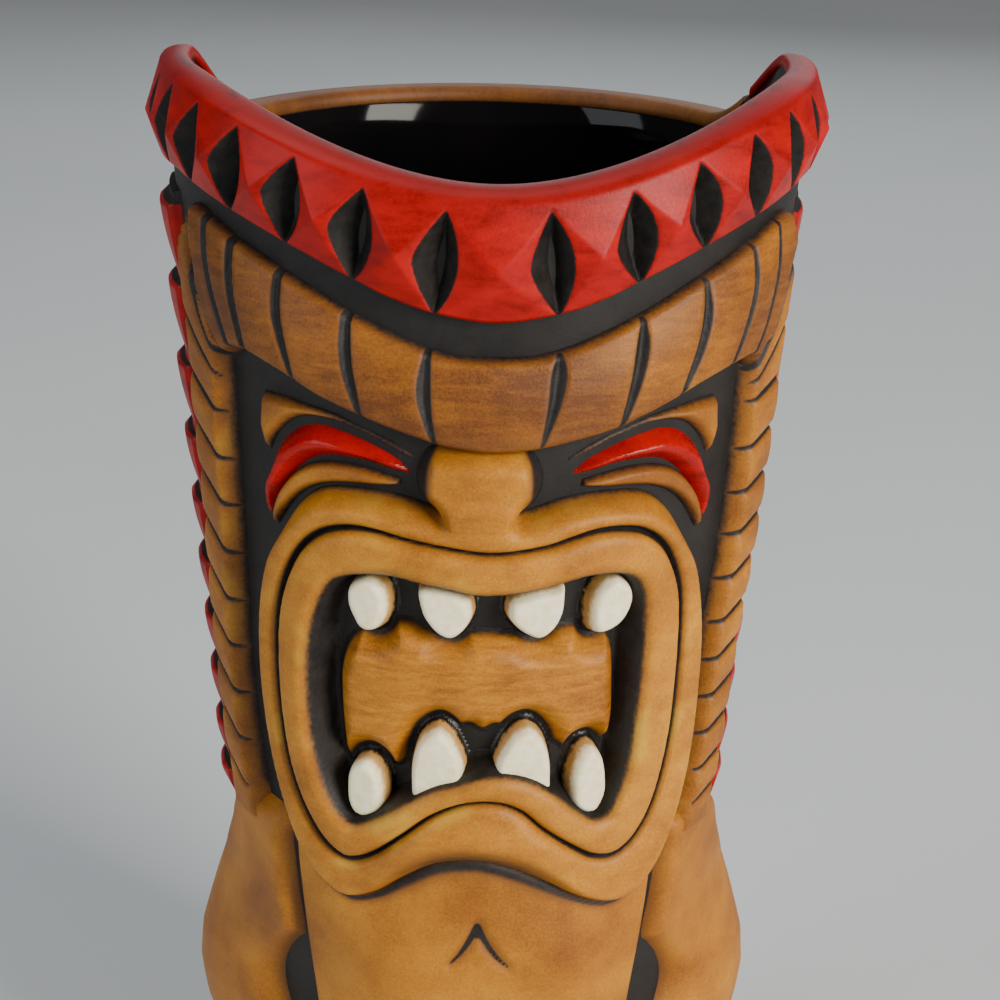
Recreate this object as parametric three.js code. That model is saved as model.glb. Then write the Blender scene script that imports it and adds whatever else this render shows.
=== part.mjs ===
// A ceramic tiki mug: a tapered cup whose outside carries a crown, a carved face, arms and legs in relief.
// Millimetres, +Z up. The face looks along -Y. The origin is the middle of the base, on the surface it stands on.
// Places on the cup are [degrees, height]: degrees round the axis from the middle of the face, + towards +X.
import * as THREE from "three";
import { mergeVertices } from "three/addons/utils/BufferGeometryUtils.js";

// Cup
const BASE_RADIUS = 30.6; // outside of the bare wall at the table
const TAPER = 0.0785; // how much the wall's radius grows per mm of height
const WALL = 3.6;
const FLOOR_TOP = 7.5; // the drink's lowest level
const FOOT_HEIGHT = 2.4;
const FOOT_RADIUS = 29.5;
const CLEARANCE = 0.3; // kept between neighbouring solids
const CUP_STEPS = 72;

// Rim
const RIM_FRONT = 181;
const RIM_EAR = 191.5;
const RIM_BACK = 178;
const EAR_RISE_END = 70; // degrees where the front's slope reaches the ear's top
const EAR_FALL_START = 92;
const EAR_FALL_END = 125;
const RIM_BLEND_HEIGHT = 150; // the wall below this height doesn't follow the rim

// Relief heights above the bare wall
const CROWN_EDGE = 2.6;
const CROWN_APEX = 3.5;
const CROWN_NOTCH = 0.6;
const NOTCHES = [9, 22.4, 34, 45.5, 57, 68.5, 80, 91.5, 103]; // degrees, on each side
const CROWN_END = 109;
const EDGE_HEIGHT = 0.8; // of a tile's side wall, where its surface has rounded down

const wallRadius = (z) => BASE_RADIUS + TAPER * z;

function smooth(x) {
  const t = THREE.MathUtils.clamp(x, 0, 1);
  return t * t * (3 - 2 * t);
}

function rimHeight(degrees) {
  const a = Math.abs(degrees);
  const front = RIM_FRONT + (RIM_EAR - RIM_FRONT) * smooth(a / EAR_RISE_END);
  const fall = smooth((a - EAR_FALL_START) / (EAR_FALL_END - EAR_FALL_START));
  return front - (RIM_EAR - RIM_BACK) * fall;
}

function onWall(degrees, z, proud) {
  const a = THREE.MathUtils.degToRad(degrees);
  const r = wallRadius(z) + proud;
  return new THREE.Vector3(r * Math.sin(a), -r * Math.cos(a), z);
}

const mirrored = (points) => points.map(([a, z]) => [-a, z]);
const wholeEdge = (half) => [...mirrored(half.slice(1)).reverse(), ...half];
const wholeRing = (half) => [...half, ...mirrored(half.slice(1, -1)).reverse()];

function curve(points, closed = false) {
  const spots = points.map(([a, z]) => new THREE.Vector3(a, z, 0));
  return new THREE.CatmullRomCurve3(spots, closed, "centripetal");
}

// A closed body from its corners and faces, turned to face out.
function body(corners, faces) {
  let volume = 0;
  for (const [a, b, c] of faces) {
    volume += corners[a].dot(corners[b].clone().cross(corners[c]));
  }
  const indices = faces.flatMap(([a, b, c]) => (volume < 0 ? [a, c, b] : [a, b, c]));
  const geometry = new THREE.BufferGeometry().setFromPoints(corners).setIndex(indices);
  geometry.computeVertexNormals();
  return geometry;
}

const quad = (a, b, c, d) => [[a, b, c], [a, c, d]];

// A tile between two edges. proud(along, across) is its surface's height above the wall, each from 0 to 1.
function strip(low, high, steps, rows, proud, closed = false, lift = CLEARANCE) {
  const [lowEdge, highEdge] = [curve(low, closed), curve(high, closed)];
  const columns = closed ? steps : steps + 1;
  const corners = [];
  const at = (layer, i, j) => (layer * columns + (i % columns)) * (rows + 1) + j;
  for (const layer of [0, 1]) {
    for (let i = 0; i < columns; i++) {
      const along = i / steps;
      const [a, b] = [lowEdge.getPoint(along), highEdge.getPoint(along)];
      for (let j = 0; j <= rows; j++) {
        const p = a.clone().lerp(b, j / rows);
        corners.push(onWall(p.x, p.y, layer ? lift : proud(along, j / rows)));
      }
    }
  }
  const faces = [];
  for (let i = 0; i < steps; i++) {
    for (let j = 0; j < rows; j++) {
      faces.push(...quad(at(0, i, j), at(0, i + 1, j), at(0, i + 1, j + 1), at(0, i, j + 1)));
      faces.push(...quad(at(1, i, j), at(1, i, j + 1), at(1, i + 1, j + 1), at(1, i + 1, j)));
    }
    faces.push(...quad(at(0, i, 0), at(1, i, 0), at(1, i + 1, 0), at(0, i + 1, 0)));
    faces.push(...quad(at(0, i, rows), at(0, i + 1, rows), at(1, i + 1, rows), at(1, i, rows)));
  }
  for (let j = 0; j < rows && !closed; j++) {
    faces.push(...quad(at(0, 0, j), at(0, 0, j + 1), at(1, 0, j + 1), at(1, 0, j)));
    faces.push(...quad(at(0, steps, j), at(1, steps, j), at(1, steps, j + 1), at(0, steps, j + 1)));
  }
  return body(corners, faces);
}

const smoothOutline = (points, steps) => curve(points, true).getSpacedPoints(steps).slice(0, steps);

// An oval, or a box with rounded corners where square is below 1.
function oval([a, z], wide, tall, steps, square = 1) {
  const reach = (x) => Math.sign(x) * Math.abs(x) ** square;
  return Array.from({ length: steps }, (_, i) => {
    const turn = (2 * Math.PI * i) / steps;
    return new THREE.Vector3(a + wide * reach(Math.cos(turn)), z + tall * reach(Math.sin(turn)), 0);
  });
}

// A tile inside one closed outline, highest at its middle.
function patch(around, middle, rings, edge, peak, lift = CLEARANCE) {
  const steps = around.length;
  const centre = new THREE.Vector3(middle[0], middle[1], 0);
  const corners = [];
  const ring = (layer, k, i) => layer * (1 + rings * steps) + 1 + (k - 1) * steps + (i % steps);
  const hub = (layer) => layer * (1 + rings * steps);
  for (const layer of [0, 1]) {
    corners.push(onWall(centre.x, centre.y, layer ? lift : peak));
    for (let k = 1; k <= rings; k++) {
      const out = k / rings;
      for (const spot of around) {
        const p = centre.clone().lerp(spot, out);
        corners.push(onWall(p.x, p.y, layer ? lift : edge + (peak - edge) * (1 - out * out)));
      }
    }
  }
  const faces = [];
  for (let i = 0; i < steps; i++) {
    faces.push([hub(0), ring(0, 1, i), ring(0, 1, i + 1)]);
    faces.push([hub(1), ring(1, 1, i + 1), ring(1, 1, i)]);
    for (let k = 1; k < rings; k++) {
      faces.push(...quad(ring(0, k, i), ring(0, k + 1, i), ring(0, k + 1, i + 1), ring(0, k, i + 1)));
      faces.push(...quad(ring(1, k, i), ring(1, k, i + 1), ring(1, k + 1, i + 1), ring(1, k + 1, i)));
    }
    faces.push(...quad(ring(0, rings, i), ring(1, rings, i), ring(1, rings, i + 1), ring(0, rings, i + 1)));
  }
  return body(corners, faces);
}

// A rounded section: high in the middle of the tile's width and low at both edges.
const rounded = (peak) => (along, across) => EDGE_HEIGHT + (peak - EDGE_HEIGHT) * Math.sin(Math.PI * across);

const glaze = (color, roughness) => new THREE.MeshStandardMaterial({ color, roughness, metalness: 0 });
const BROWN = glaze(0xa9692f, 0.5);
const RED = glaze(0xc21f12, 0.4);
const CREAM = glaze(0xf3ecd0, 0.45);
const DARK = glaze(0x2a2725, 0.55);
const CLAY = glaze(0xd9cbb0, 0.9);

const mug = new THREE.Group();

function add(name, geometry, material) {
  const mesh = new THREE.Mesh(geometry, material);
  mesh.name = name;
  mug.add(mesh);
}

// The same tile on each side of the face: turn is 1 towards +X and -1 towards -X.
const side = (points, turn) => points.map(([a, z]) => [turn * a, z]);
function addPair(name, make, material) {
  add(name + "_right", make(1), material);
  add(name + "_left", make(-1), material);
}

// Cup and base

function cupGeometry() {
  const bottom = FOOT_HEIGHT + CLEARANCE;
  const inside = (z) => wallRadius(z) - WALL;
  const lip = 0.8; // how far the rim's edges are rounded off
  const profile = [
    [0, bottom],
    [wallRadius(bottom), bottom],
    [wallRadius(RIM_BLEND_HEIGHT), RIM_BLEND_HEIGHT],
    [wallRadius(RIM_FRONT), RIM_FRONT - lip],
    [wallRadius(RIM_FRONT) - lip, RIM_FRONT],
    [inside(RIM_FRONT) + lip, RIM_FRONT],
    [inside(RIM_FRONT), RIM_FRONT - lip],
    [inside(RIM_BLEND_HEIGHT), RIM_BLEND_HEIGHT],
    [inside(FLOOR_TOP + 4), FLOOR_TOP + 4],
    [inside(FLOOR_TOP) - 4, FLOOR_TOP],
    [0, FLOOR_TOP],
  ].map(([r, z]) => new THREE.Vector2(r, z));
  // LatheGeometry turns about Y, and this turns it to stand on Z.
  const geometry = new THREE.LatheGeometry(profile, CUP_STEPS).rotateX(Math.PI / 2);
  geometry.deleteAttribute("normal");
  geometry.deleteAttribute("uv");
  const merged = mergeVertices(geometry, 1e-3);
  const spots = merged.getAttribute("position");
  for (let i = 0; i < spots.count; i++) {
    const [x, y, z] = [spots.getX(i), spots.getY(i), spots.getZ(i)];
    const share = Math.max(0, z - RIM_BLEND_HEIGHT) / (RIM_FRONT - RIM_BLEND_HEIGHT);
    const degrees = THREE.MathUtils.radToDeg(Math.atan2(x, -y));
    const rise = share * (rimHeight(degrees) - RIM_FRONT);
    const r = Math.hypot(x, y);
    const flare = r ? (r + TAPER * rise) / r : 1;
    spots.setXYZ(i, x * flare, y * flare, z + rise);
  }
  return merged;
}
add("cup_wall", cupGeometry(), DARK);

const footProfile = [
  [0, 0],
  [FOOT_RADIUS - 0.8, 0],
  [FOOT_RADIUS, 0.8],
  [FOOT_RADIUS, FOOT_HEIGHT],
  [0, FOOT_HEIGHT],
].map(([r, z]) => new THREE.Vector2(r, z));
add("base", new THREE.LatheGeometry(footProfile, CUP_STEPS).rotateX(Math.PI / 2), CLAY);

// Head

const CROWN_LOW = [
  [0, 163.8], [10, 165], [23, 168.8], [34, 172.2], [45, 175], [57, 177.2], [70, 178], [90, 176.4], [CROWN_END, 174],
];

// One column of corners at each notch and at each facet's middle makes pyramids with grooves between them.
function crownGeometry() {
  const lowEdge = curve(wholeEdge(CROWN_LOW)).getPoints(400);
  const lowAt = (a) => {
    const next = Math.max(1, lowEdge.findIndex((p) => p.x >= a));
    const [p, q] = [lowEdge[next - 1], lowEdge[next]];
    return THREE.MathUtils.mapLinear(a, p.x, q.x, p.y, q.y);
  };
  const right = NOTCHES.flatMap((a, k) => [a, k + 1 < NOTCHES.length ? (a + NOTCHES[k + 1]) / 2 : CROWN_END]);
  const angles = [...right.map((a) => -a).reverse(), 0, ...right];
  const rows = 4;
  const corners = [];
  const last = angles.length - 1;
  const at = (layer, i, j) => (layer * (last + 1) + i) * (rows + 1) + j;
  for (const layer of [0, 1]) {
    angles.forEach((a, i) => {
      const middle = NOTCHES.includes(Math.abs(a)) ? CROWN_NOTCH : CROWN_APEX;
      for (let j = 0; j <= rows; j++) {
        const z = THREE.MathUtils.lerp(lowAt(a), rimHeight(a), j / rows);
        const height = j === 0 || j === rows ? CROWN_EDGE : j === 2 ? middle : (middle + CROWN_EDGE) / 2;
        corners.push(onWall(a, z, layer ? CLEARANCE : height));
      }
    });
  }
  const faces = [];
  for (let i = 0; i < last; i++) {
    for (let j = 0; j < rows; j++) {
      faces.push(...quad(at(0, i, j), at(0, i + 1, j), at(0, i + 1, j + 1), at(0, i, j + 1)));
      faces.push(...quad(at(1, i, j), at(1, i, j + 1), at(1, i + 1, j + 1), at(1, i + 1, j)));
    }
    faces.push(...quad(at(0, i, 0), at(1, i, 0), at(1, i + 1, 0), at(0, i + 1, 0)));
    faces.push(...quad(at(0, i, rows), at(0, i + 1, rows), at(1, i + 1, rows), at(1, i, rows)));
  }
  for (let j = 0; j < rows; j++) {
    faces.push(...quad(at(0, 0, j), at(0, 0, j + 1), at(1, 0, j + 1), at(1, 0, j)));
    faces.push(...quad(at(0, last, j), at(1, last, j), at(1, last, j + 1), at(0, last, j + 1)));
  }
  return body(corners, faces);
}
add("crown_band", crownGeometry(), RED);

const BROW_LOW = [[0, 145.7], [9, 146], [18, 147.2], [28, 150.4], [38, 153], [51, 154.4]];
const BROW_HIGH = [[0, 158.7], [10.5, 159.7], [25.5, 163.6], [39, 168.1], [50, 171], [58, 172.6]];
add("brow_band", strip(wholeEdge(BROW_LOW), wholeEdge(BROW_HIGH), 30, 5, rounded(3.8)), BROWN);

// The braid hangs from the brow's end to the shoulder, beside the dark channel round the face.
const BRAID_INNER = [[60, 172.2], [52.5, 154], [53.5, 140], [54, 124], [53.5, 108], [52.5, 96], [52, 86]];
const BRAID_OUTER = [[71, 173.2], [71.5, 158], [71.5, 141], [71.5, 124], [71, 108], [70, 96], [68, 86]];
addPair("braid", (turn) => strip(side(BRAID_INNER, turn), side(BRAID_OUTER, turn), 24, 4, rounded(2.6)), BROWN);

// The mane is a column of red wedges behind the braid.
const MANE_TOP = 172.5;
const MANE_BOTTOM = 78;
const MANE_SIDES = [74, 92];
const WEDGES = 10;
const mane = (turn) => {
  const edge = (a) => [[a, MANE_TOP], [a, (MANE_TOP + MANE_BOTTOM) / 2], [a, MANE_BOTTOM]];
  const wedge = (along, across) => {
    const drop = (along * WEDGES) % 1;
    const ridge = 1 - Math.abs(2 * across - 1);
    return EDGE_HEIGHT + 1.9 * ridge * (drop < 0.01 || drop > 0.99 ? 0 : 1.25 - drop);
  };
  return strip(side(edge(MANE_SIDES[0]), turn), side(edge(MANE_SIDES[1]), turn), WEDGES * 3, 2, wedge);
};
addPair("mane", mane, RED);

// The plain back, from one mane and arm round to the other, and from the table up to the rim.
const BACK_SIDE_TOP = 95;
const BACK_SIDE_BOTTOM = 101;
const BACK_BOTTOM = 3.4;
const CROWN_CLEAR = 2; // degrees between the crown's end and the back's tall part
const BELOW_CROWN = 172;
function backEdge(start, height) {
  const steps = 12;
  const angles = Array.from({ length: steps + 1 }, (_, i) => start + ((360 - 2 * start) * i) / steps);
  return angles.map((a) => [a, height(a > 180 ? 360 - a : a)]);
}
const backTop = (a) => (a < CROWN_END + CROWN_CLEAR ? BELOW_CROWN : RIM_BACK - 0.2);
const backEdges = [backEdge(BACK_SIDE_BOTTOM, () => BACK_BOTTOM), backEdge(BACK_SIDE_TOP, backTop)];
add("back_panel", strip(...backEdges, 32, 6, rounded(2.4)), BROWN);

// Face

const EYE_HIGH = [[15, 142.9], [22.5, 145.4], [29, 146.8], [35, 146.6], [40, 144.3], [43.5, 140], [44.8, 133.6]];
const EYE_LOW = [[15, 142.2], [20.5, 143], [26, 143.4], [32, 142.8], [37.5, 140.9], [41.2, 137.6], [44.2, 132.8]];
addPair("eye", (turn) => strip(side(EYE_LOW, turn), side(EYE_HIGH, turn), 16, 3, rounded(2.6)), RED);

const UPPER_LID_HIGH = [[13.5, 144.6], [20, 146.4], [27, 148.9], [34, 151], [39, 152.2], [43.3, 152.4]];
const UPPER_LID_LOW = [[13.5, 144], [20, 145.7], [27, 147.9], [34.5, 148.2], [40.5, 145.6], [43.6, 142.6]];
const upperLid = (turn) => strip(side(UPPER_LID_LOW, turn), side(UPPER_LID_HIGH, turn), 14, 2, rounded(2));
addPair("upper_lid", upperLid, BROWN);

const LOWER_LID_HIGH = [[17, 141.9], [24, 142.5], [31, 141.9], [36.5, 139.9], [40.2, 136.6], [43.4, 131.6]];
const LOWER_LID_LOW = [[17, 141.3], [24, 141.1], [30, 140.2], [35.2, 138], [39.2, 134.8], [42.7, 130.6]];
const lowerLid = (turn) => strip(side(LOWER_LID_LOW, turn), side(LOWER_LID_HIGH, turn), 14, 2, rounded(1.8));
addPair("lower_lid", lowerLid, BROWN);

const NOSE = [[0, 145.1], [7.5, 145], [10.5, 142.6], [7.5, 139.6], [0, 138]];
add("nose", patch(smoothOutline(wholeRing(NOSE), 20), [0, 142], 3, 1.2, 4.2), BROWN);

// The lips are two rings, each between the edges of a groove. These are one side of each edge, from the top down.
const LIP_OUTSIDE = [
  [0, 137.4], [10, 138.6], [18, 140], [26, 139.4], [34, 136], [40, 130.6], [44.6, 122.6], [46.6, 112],
  [46.4, 102], [43.8, 92], [38.8, 83.4], [31.6, 78], [23.6, 76.8], [16, 79.2], [8, 82.6], [0, 83.8],
];
const LIP_GROOVE = [
  [0, 133.4], [10, 134], [18, 135], [25, 134.6], [31, 132], [35.6, 127.2], [38.8, 120.4], [40.4, 111.4],
  [39.8, 102], [37.4, 94], [33.2, 87.6], [27.6, 84.4], [21.2, 85], [14, 88.8], [7, 92.9], [0, 94.4],
];
const MOUTH = [
  [0, 126.6], [9, 127.1], [17, 128], [23, 128], [27.4, 126.4], [30.6, 122.8], [32.8, 117.4], [33.8, 110.6],
  [33.4, 103.4], [32, 97], [29, 91.8], [25, 89.8], [20.4, 90.6], [14, 93.8], [7.4, 97.2], [0, 98.6],
];
const LIP_GAP = 0.6; // half the groove's width
const shrunk = (half, by) => {
  const [ca, cz] = [0, 109];
  return half.map(([a, z]) => {
    const reach = Math.hypot((a - ca) * 0.7, z - cz);
    return [ca + (a - ca) * (1 - by / reach), cz + (z - cz) * (1 - by / reach)];
  });
};
const outerLipEdges = [wholeRing(shrunk(LIP_GROOVE, -LIP_GAP)), wholeRing(LIP_OUTSIDE)];
const innerLipEdges = [wholeRing(MOUTH), wholeRing(shrunk(LIP_GROOVE, LIP_GAP))];
add("outer_lip", strip(...outerLipEdges, 52, 3, rounded(4.6), true), BROWN);
add("inner_lip", strip(...innerLipEdges, 52, 3, rounded(5), true), BROWN);

const TONGUE = [
  [0, 118.2], [8, 118.6], [16, 118.4], [24, 117.6], [28.2, 114.6], [29.4, 108], [28.4, 102.4],
  [22, 102.2], [16, 104], [8.4, 107.6], [0, 104.4],
];
add("tongue", patch(smoothOutline(wholeRing(TONGUE), 44), [0, 111], 3, 0.8, 2), BROWN);

// Teeth, from the middle of the mouth outwards: [middle degrees, middle height, half width, half height]
const TEETH = {
  upper_tooth_inner: [8.4, 122.9, 4.6, 3.2],
  upper_tooth_outer: [22.2, 123.2, 3.6, 3.2],
  lower_tooth_inner: [8.6, 102, 4.6, 4.2],
  lower_tooth_outer: [23.2, 96.4, 3.2, 4.2],
};
for (const [name, [a, z, wide, tall]] of Object.entries(TEETH)) {
  addPair(name, (turn) => patch(oval([turn * a, z], wide, tall, 10), [turn * a, z], 2, 1.6, 3), CREAM);
}

// Body

const CHEST = [
  [0, 82.2], [8, 81], [16, 77.4], [24, 75.2], [32, 76.4], [39.5, 82], [47, 84.5],
  [46.6, 76], [45.6, 66], [45, 55], [43, 47], [20, 46], [0, 46],
];
add("chest", patch(smoothOutline(wholeRing(CHEST), 40), [0, 60], 6, 1.2, 3.2), BROWN);

const BELLY = [
  [0, 45], [11, 44.8], [14.6, 42], [14.8, 36], [16, 31], [24, 28.8], [34, 28.6], [34, 25.4], [20, 22.6], [0, 22],
];
add("belly", patch(smoothOutline(wholeRing(BELLY), 32), [0, 28], 4, 1, 4.6), BROWN);

const HAND_HIGH = [[17, 43.8], [30, 44.4], [42.6, 43.6]];
const HAND_LOW = [[17, 31.6], [30, 30.6], [42.6, 31.4]];
const FINGERS = 4;
const fingers = (along, across) => {
  const knuckle = 3.4 + 1.8 * Math.sin(Math.PI * Math.min(1, 0.25 + along));
  return knuckle + 1.3 * Math.abs(Math.sin(FINGERS * Math.PI * across));
};
addPair("hand", (turn) => strip(side(HAND_LOW, turn), side(HAND_HIGH, turn), 5, 3 * FINGERS, fingers), BROWN);

const ARM_FRONT = [[48, 84], [47.6, 74], [47, 64], [51, 58], [61, 50], [57, 44.6], [50, 44], [43.8, 43.8]];
const ARM_BACK = [[64, 84], [72, 76.4], [85, 68], [98, 55], [96, 42], [82, 33.5], [60, 30.4], [43.8, 31.4]];
const armSwell = (along, across) => {
  const elbow = 2.6 + 6 * Math.sin(Math.PI * Math.min(1, along * 1.1) ** 1.2);
  return EDGE_HEIGHT + (elbow - EDGE_HEIGHT) * Math.sin(Math.PI * across);
};
addPair("arm", (turn) => strip(side(ARM_FRONT, turn), side(ARM_BACK, turn), 22, 5, armSwell), BROWN);

const LEG = [[29, 22], [38, 24.4], [54, 26.6], [70, 24], [73, 15], [62, 8.8], [44, 8.2], [36, 11.6], [27, 16.6]];
addPair("leg", (turn) => patch(smoothOutline(side(LEG, turn), 28), [turn * 50, 18], 3, 1, 6.4), BROWN);

const FOOT_MIDDLE = [38, 3.9];
const foot = (turn) => {
  const middle = [turn * FOOT_MIDDLE[0], FOOT_MIDDLE[1]];
  return patch(oval(middle, 25, 3.5, 28, 0.5), middle, 2, 3, 7);
};
addPair("foot", foot, BROWN);

export default mug;
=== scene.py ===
# A ceramic tiki mug, rebuilt as fine relief round its CAD cup.
# Shapes are worked out in millimetres and degrees, and turned to metres when a mesh is made.
# A place on the wall is (degrees, height): degrees round the axis from the middle of the face, + towards +X.
# The face's outlines are a little uneven from left to right.
import math

import bpy
import numpy as np
from mathutils import Matrix, Vector


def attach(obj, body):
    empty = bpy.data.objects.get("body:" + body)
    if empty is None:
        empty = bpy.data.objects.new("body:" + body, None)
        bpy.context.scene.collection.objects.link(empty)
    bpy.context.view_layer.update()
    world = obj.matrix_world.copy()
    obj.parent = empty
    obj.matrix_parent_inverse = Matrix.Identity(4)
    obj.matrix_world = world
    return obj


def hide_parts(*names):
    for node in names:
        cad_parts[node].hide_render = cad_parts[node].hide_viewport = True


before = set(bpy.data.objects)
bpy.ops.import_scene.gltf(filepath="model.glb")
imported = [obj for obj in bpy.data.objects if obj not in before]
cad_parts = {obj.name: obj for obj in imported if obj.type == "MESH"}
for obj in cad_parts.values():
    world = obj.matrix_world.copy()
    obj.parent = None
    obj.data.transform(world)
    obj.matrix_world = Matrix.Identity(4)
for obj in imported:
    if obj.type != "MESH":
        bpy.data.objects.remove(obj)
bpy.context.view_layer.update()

MM = 0.001

# Cup, as in the CAD
BASE_RADIUS = 30.6
TAPER = 0.0785
WALL = 3.6
FLOOR_TOP = 7.5
FOOT_HEIGHT = 2.4
RIM_FRONT = 181.0
RIM_EAR = 190.6
RIM_BACK = 178.0

SKIN = 3.0  # typical height of the relief: arc lengths are measured at this height
SUNK = 1.6  # how deep a relief piece's hidden underside lies in the wall
THINNEST = 0.3  # least thickness of a relief piece
NO_CUT = -3.0  # the cut attribute where a piece has no cuts
FINE = 0.42  # mesh spacing on the face
COARSE = 0.8  # mesh spacing on plain areas
MOUTH_DEPTH = 1.3  # how far the mouth's floor is sunk into the wall


# ---------------------------------------------------------------- camera, light and floor

CAMERA_PLACE = (-11.6, -332.8, 246.0)
CAMERA_YAW = 2.5  # degrees towards +X
CAMERA_PITCH = 20.2  # degrees down
CAMERA_ROLL = 1.3
LENS = 85.0


def make_camera():
    data = bpy.data.cameras.new("camera")
    data.lens = LENS
    data.sensor_width = 36.0
    data.clip_start = 0.01
    camera = bpy.data.objects.new("camera", data)
    bpy.context.collection.objects.link(camera)
    turn = Matrix.Rotation(math.radians(-CAMERA_YAW), 4, "Z")
    turn = turn @ Matrix.Rotation(math.radians(90 - CAMERA_PITCH), 4, "X")
    turn = turn @ Matrix.Rotation(math.radians(CAMERA_ROLL), 4, "Z")
    camera.matrix_world = Matrix.Translation(Vector(CAMERA_PLACE) * MM) @ turn
    bpy.context.scene.camera = camera


def area_light(name, place, power, size, color, target=(0, 0, 0.12)):
    data = bpy.data.lights.new(name, "AREA")
    data.shape = "RECTANGLE"
    data.size, data.size_y = size
    data.energy = power
    data.color = color
    light = bpy.data.objects.new(name, data)
    bpy.context.collection.objects.link(light)
    light.location = place
    aim = Vector(target) - Vector(place)
    light.rotation_euler = aim.to_track_quat("-Z", "Y").to_euler()


def make_lights():
    area_light("key", (0.75, -0.85, 0.55), 24, (0.45, 0.6), (1.0, 0.94, 0.86))
    area_light("fill", (-0.95, -0.55, 0.50), 5.5, (0.5, 0.8), (0.90, 0.95, 1.0))
    area_light("top", (-0.15, 0.15, 1.0), 2.2, (0.5, 0.35), (1.0, 0.98, 0.95))
    area_light("back", (0.2, 1.0, 0.6), 2.0, (0.8, 0.6), (0.92, 0.97, 1.0))
    world = bpy.data.worlds.new("studio")
    world.use_nodes = True
    background = world.node_tree.nodes["Background"]
    background.inputs["Color"].default_value = (0.93, 0.95, 1.0, 1)
    background.inputs["Strength"].default_value = 0.15
    bpy.context.scene.world = world


def make_floor():
    size = 6.0
    mesh = bpy.data.meshes.new("floor")
    corners = [(-size, -size, 0), (size, -size, 0), (size, size, 0), (-size, size, 0)]
    mesh.from_pydata(corners, [], [(0, 1, 2, 3)])
    floor = bpy.data.objects.new("floor", mesh)
    bpy.context.collection.objects.link(floor)
    plain = Shader("floor_paper")
    plain.set(roughness=0.8)
    paper = plain.ramp(plain.noise(3.0), [(0.3, (0.62, 0.66, 0.68)), (0.7, (0.68, 0.71, 0.72))])
    plain.link(paper, "Base Color")
    mesh.materials.append(plain.material)


# ---------------------------------------------------------------- materials


# A Mix node's colour sockets: several share a name, so they are found by number.
COLOR_A, COLOR_B, COLOR_RESULT = 6, 7, 2


class Shader:
    """A node material under construction. Each method adds a node and returns its output."""

    def __init__(self, name):
        self.material = bpy.data.materials.new(name)
        self.material.use_nodes = True
        self.tree = self.material.node_tree
        self.surface = self.tree.nodes["Principled BSDF"]
        self.place = self.tree.nodes.new("ShaderNodeTexCoord").outputs["Object"]

    def set(self, roughness=None, specular=None):
        for socket, value in (("Roughness", roughness), ("Specular IOR Level", specular)):
            if value is not None:
                self.surface.inputs[socket].default_value = value

    def put(self, value, socket):
        if isinstance(value, bpy.types.NodeSocket):
            self.tree.links.new(value, socket)
        elif hasattr(socket.default_value, "__len__") and len(socket.default_value) == 4:
            socket.default_value = (*value, 1.0)
        else:
            socket.default_value = value

    def link(self, value, socket):
        self.tree.links.new(value, self.surface.inputs[socket])

    def attribute(self, name):
        node = self.tree.nodes.new("ShaderNodeAttribute")
        node.attribute_name = name
        return node.outputs["Fac"]

    def stretched(self, scale):
        node = self.tree.nodes.new("ShaderNodeMapping")
        node.inputs["Scale"].default_value = scale
        self.put(self.place, node.inputs["Vector"])
        return node.outputs["Vector"]

    def noise(self, scale, detail=3.0, roughness=0.55, distortion=0.0, stretch=(1, 1, 1)):
        node = self.tree.nodes.new("ShaderNodeTexNoise")
        self.put(self.stretched(stretch), node.inputs["Vector"])
        node.inputs["Scale"].default_value = scale
        node.inputs["Detail"].default_value = detail
        node.inputs["Roughness"].default_value = roughness
        node.inputs["Distortion"].default_value = distortion
        return node.outputs["Fac"]

    def ramp(self, value, stops):
        node = self.tree.nodes.new("ShaderNodeValToRGB")
        elements = node.color_ramp.elements
        while len(elements) < len(stops):
            elements.new(0.5)
        for element, (position, color) in zip(elements, stops):
            element.position = position
            element.color = (*color, 1.0)
        self.put(value, node.inputs["Fac"])
        return node.outputs["Color"]

    def math(self, operation, a, b=0.0):
        node = self.tree.nodes.new("ShaderNodeMath")
        node.operation = operation
        self.put(a, node.inputs[0])
        self.put(b, node.inputs[1])
        return node.outputs[0]

    def span(self, value, low, high, start=0.0, end=1.0):
        node = self.tree.nodes.new("ShaderNodeMapRange")
        node.interpolation_type = "SMOOTHSTEP"
        self.put(value, node.inputs["Value"])
        for name, number in zip(("From Min", "From Max", "To Min", "To Max"), (low, high, start, end)):
            node.inputs[name].default_value = number
        return node.outputs["Result"]

    def mix(self, amount, a, b):
        node = self.tree.nodes.new("ShaderNodeMix")
        node.data_type = "RGBA"
        self.put(amount, node.inputs["Factor"])
        self.put(a, node.inputs[COLOR_A])
        self.put(b, node.inputs[COLOR_B])
        return node.outputs[COLOR_RESULT]

    def bump(self, height, strength, distance):
        node = self.tree.nodes.new("ShaderNodeBump")
        node.inputs["Strength"].default_value = strength
        node.inputs["Distance"].default_value = distance
        self.put(height, node.inputs["Height"])
        self.link(node.outputs["Normal"], "Normal")


CHARCOAL = (0.0055, 0.0048, 0.0045)
CHARCOAL_WORN = (0.020, 0.016, 0.014)
# Darker brown towards a piece's edges and cuts: partly airbrushed glaze, partly painted shade where the edges
# roll down into the grooves.
EDGE_BROWN = (0.14, 0.055, 0.015)
# The brown that painted shade darkens a colour towards.
SHADE_BROWN = (0.10, 0.035, 0.010)


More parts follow.
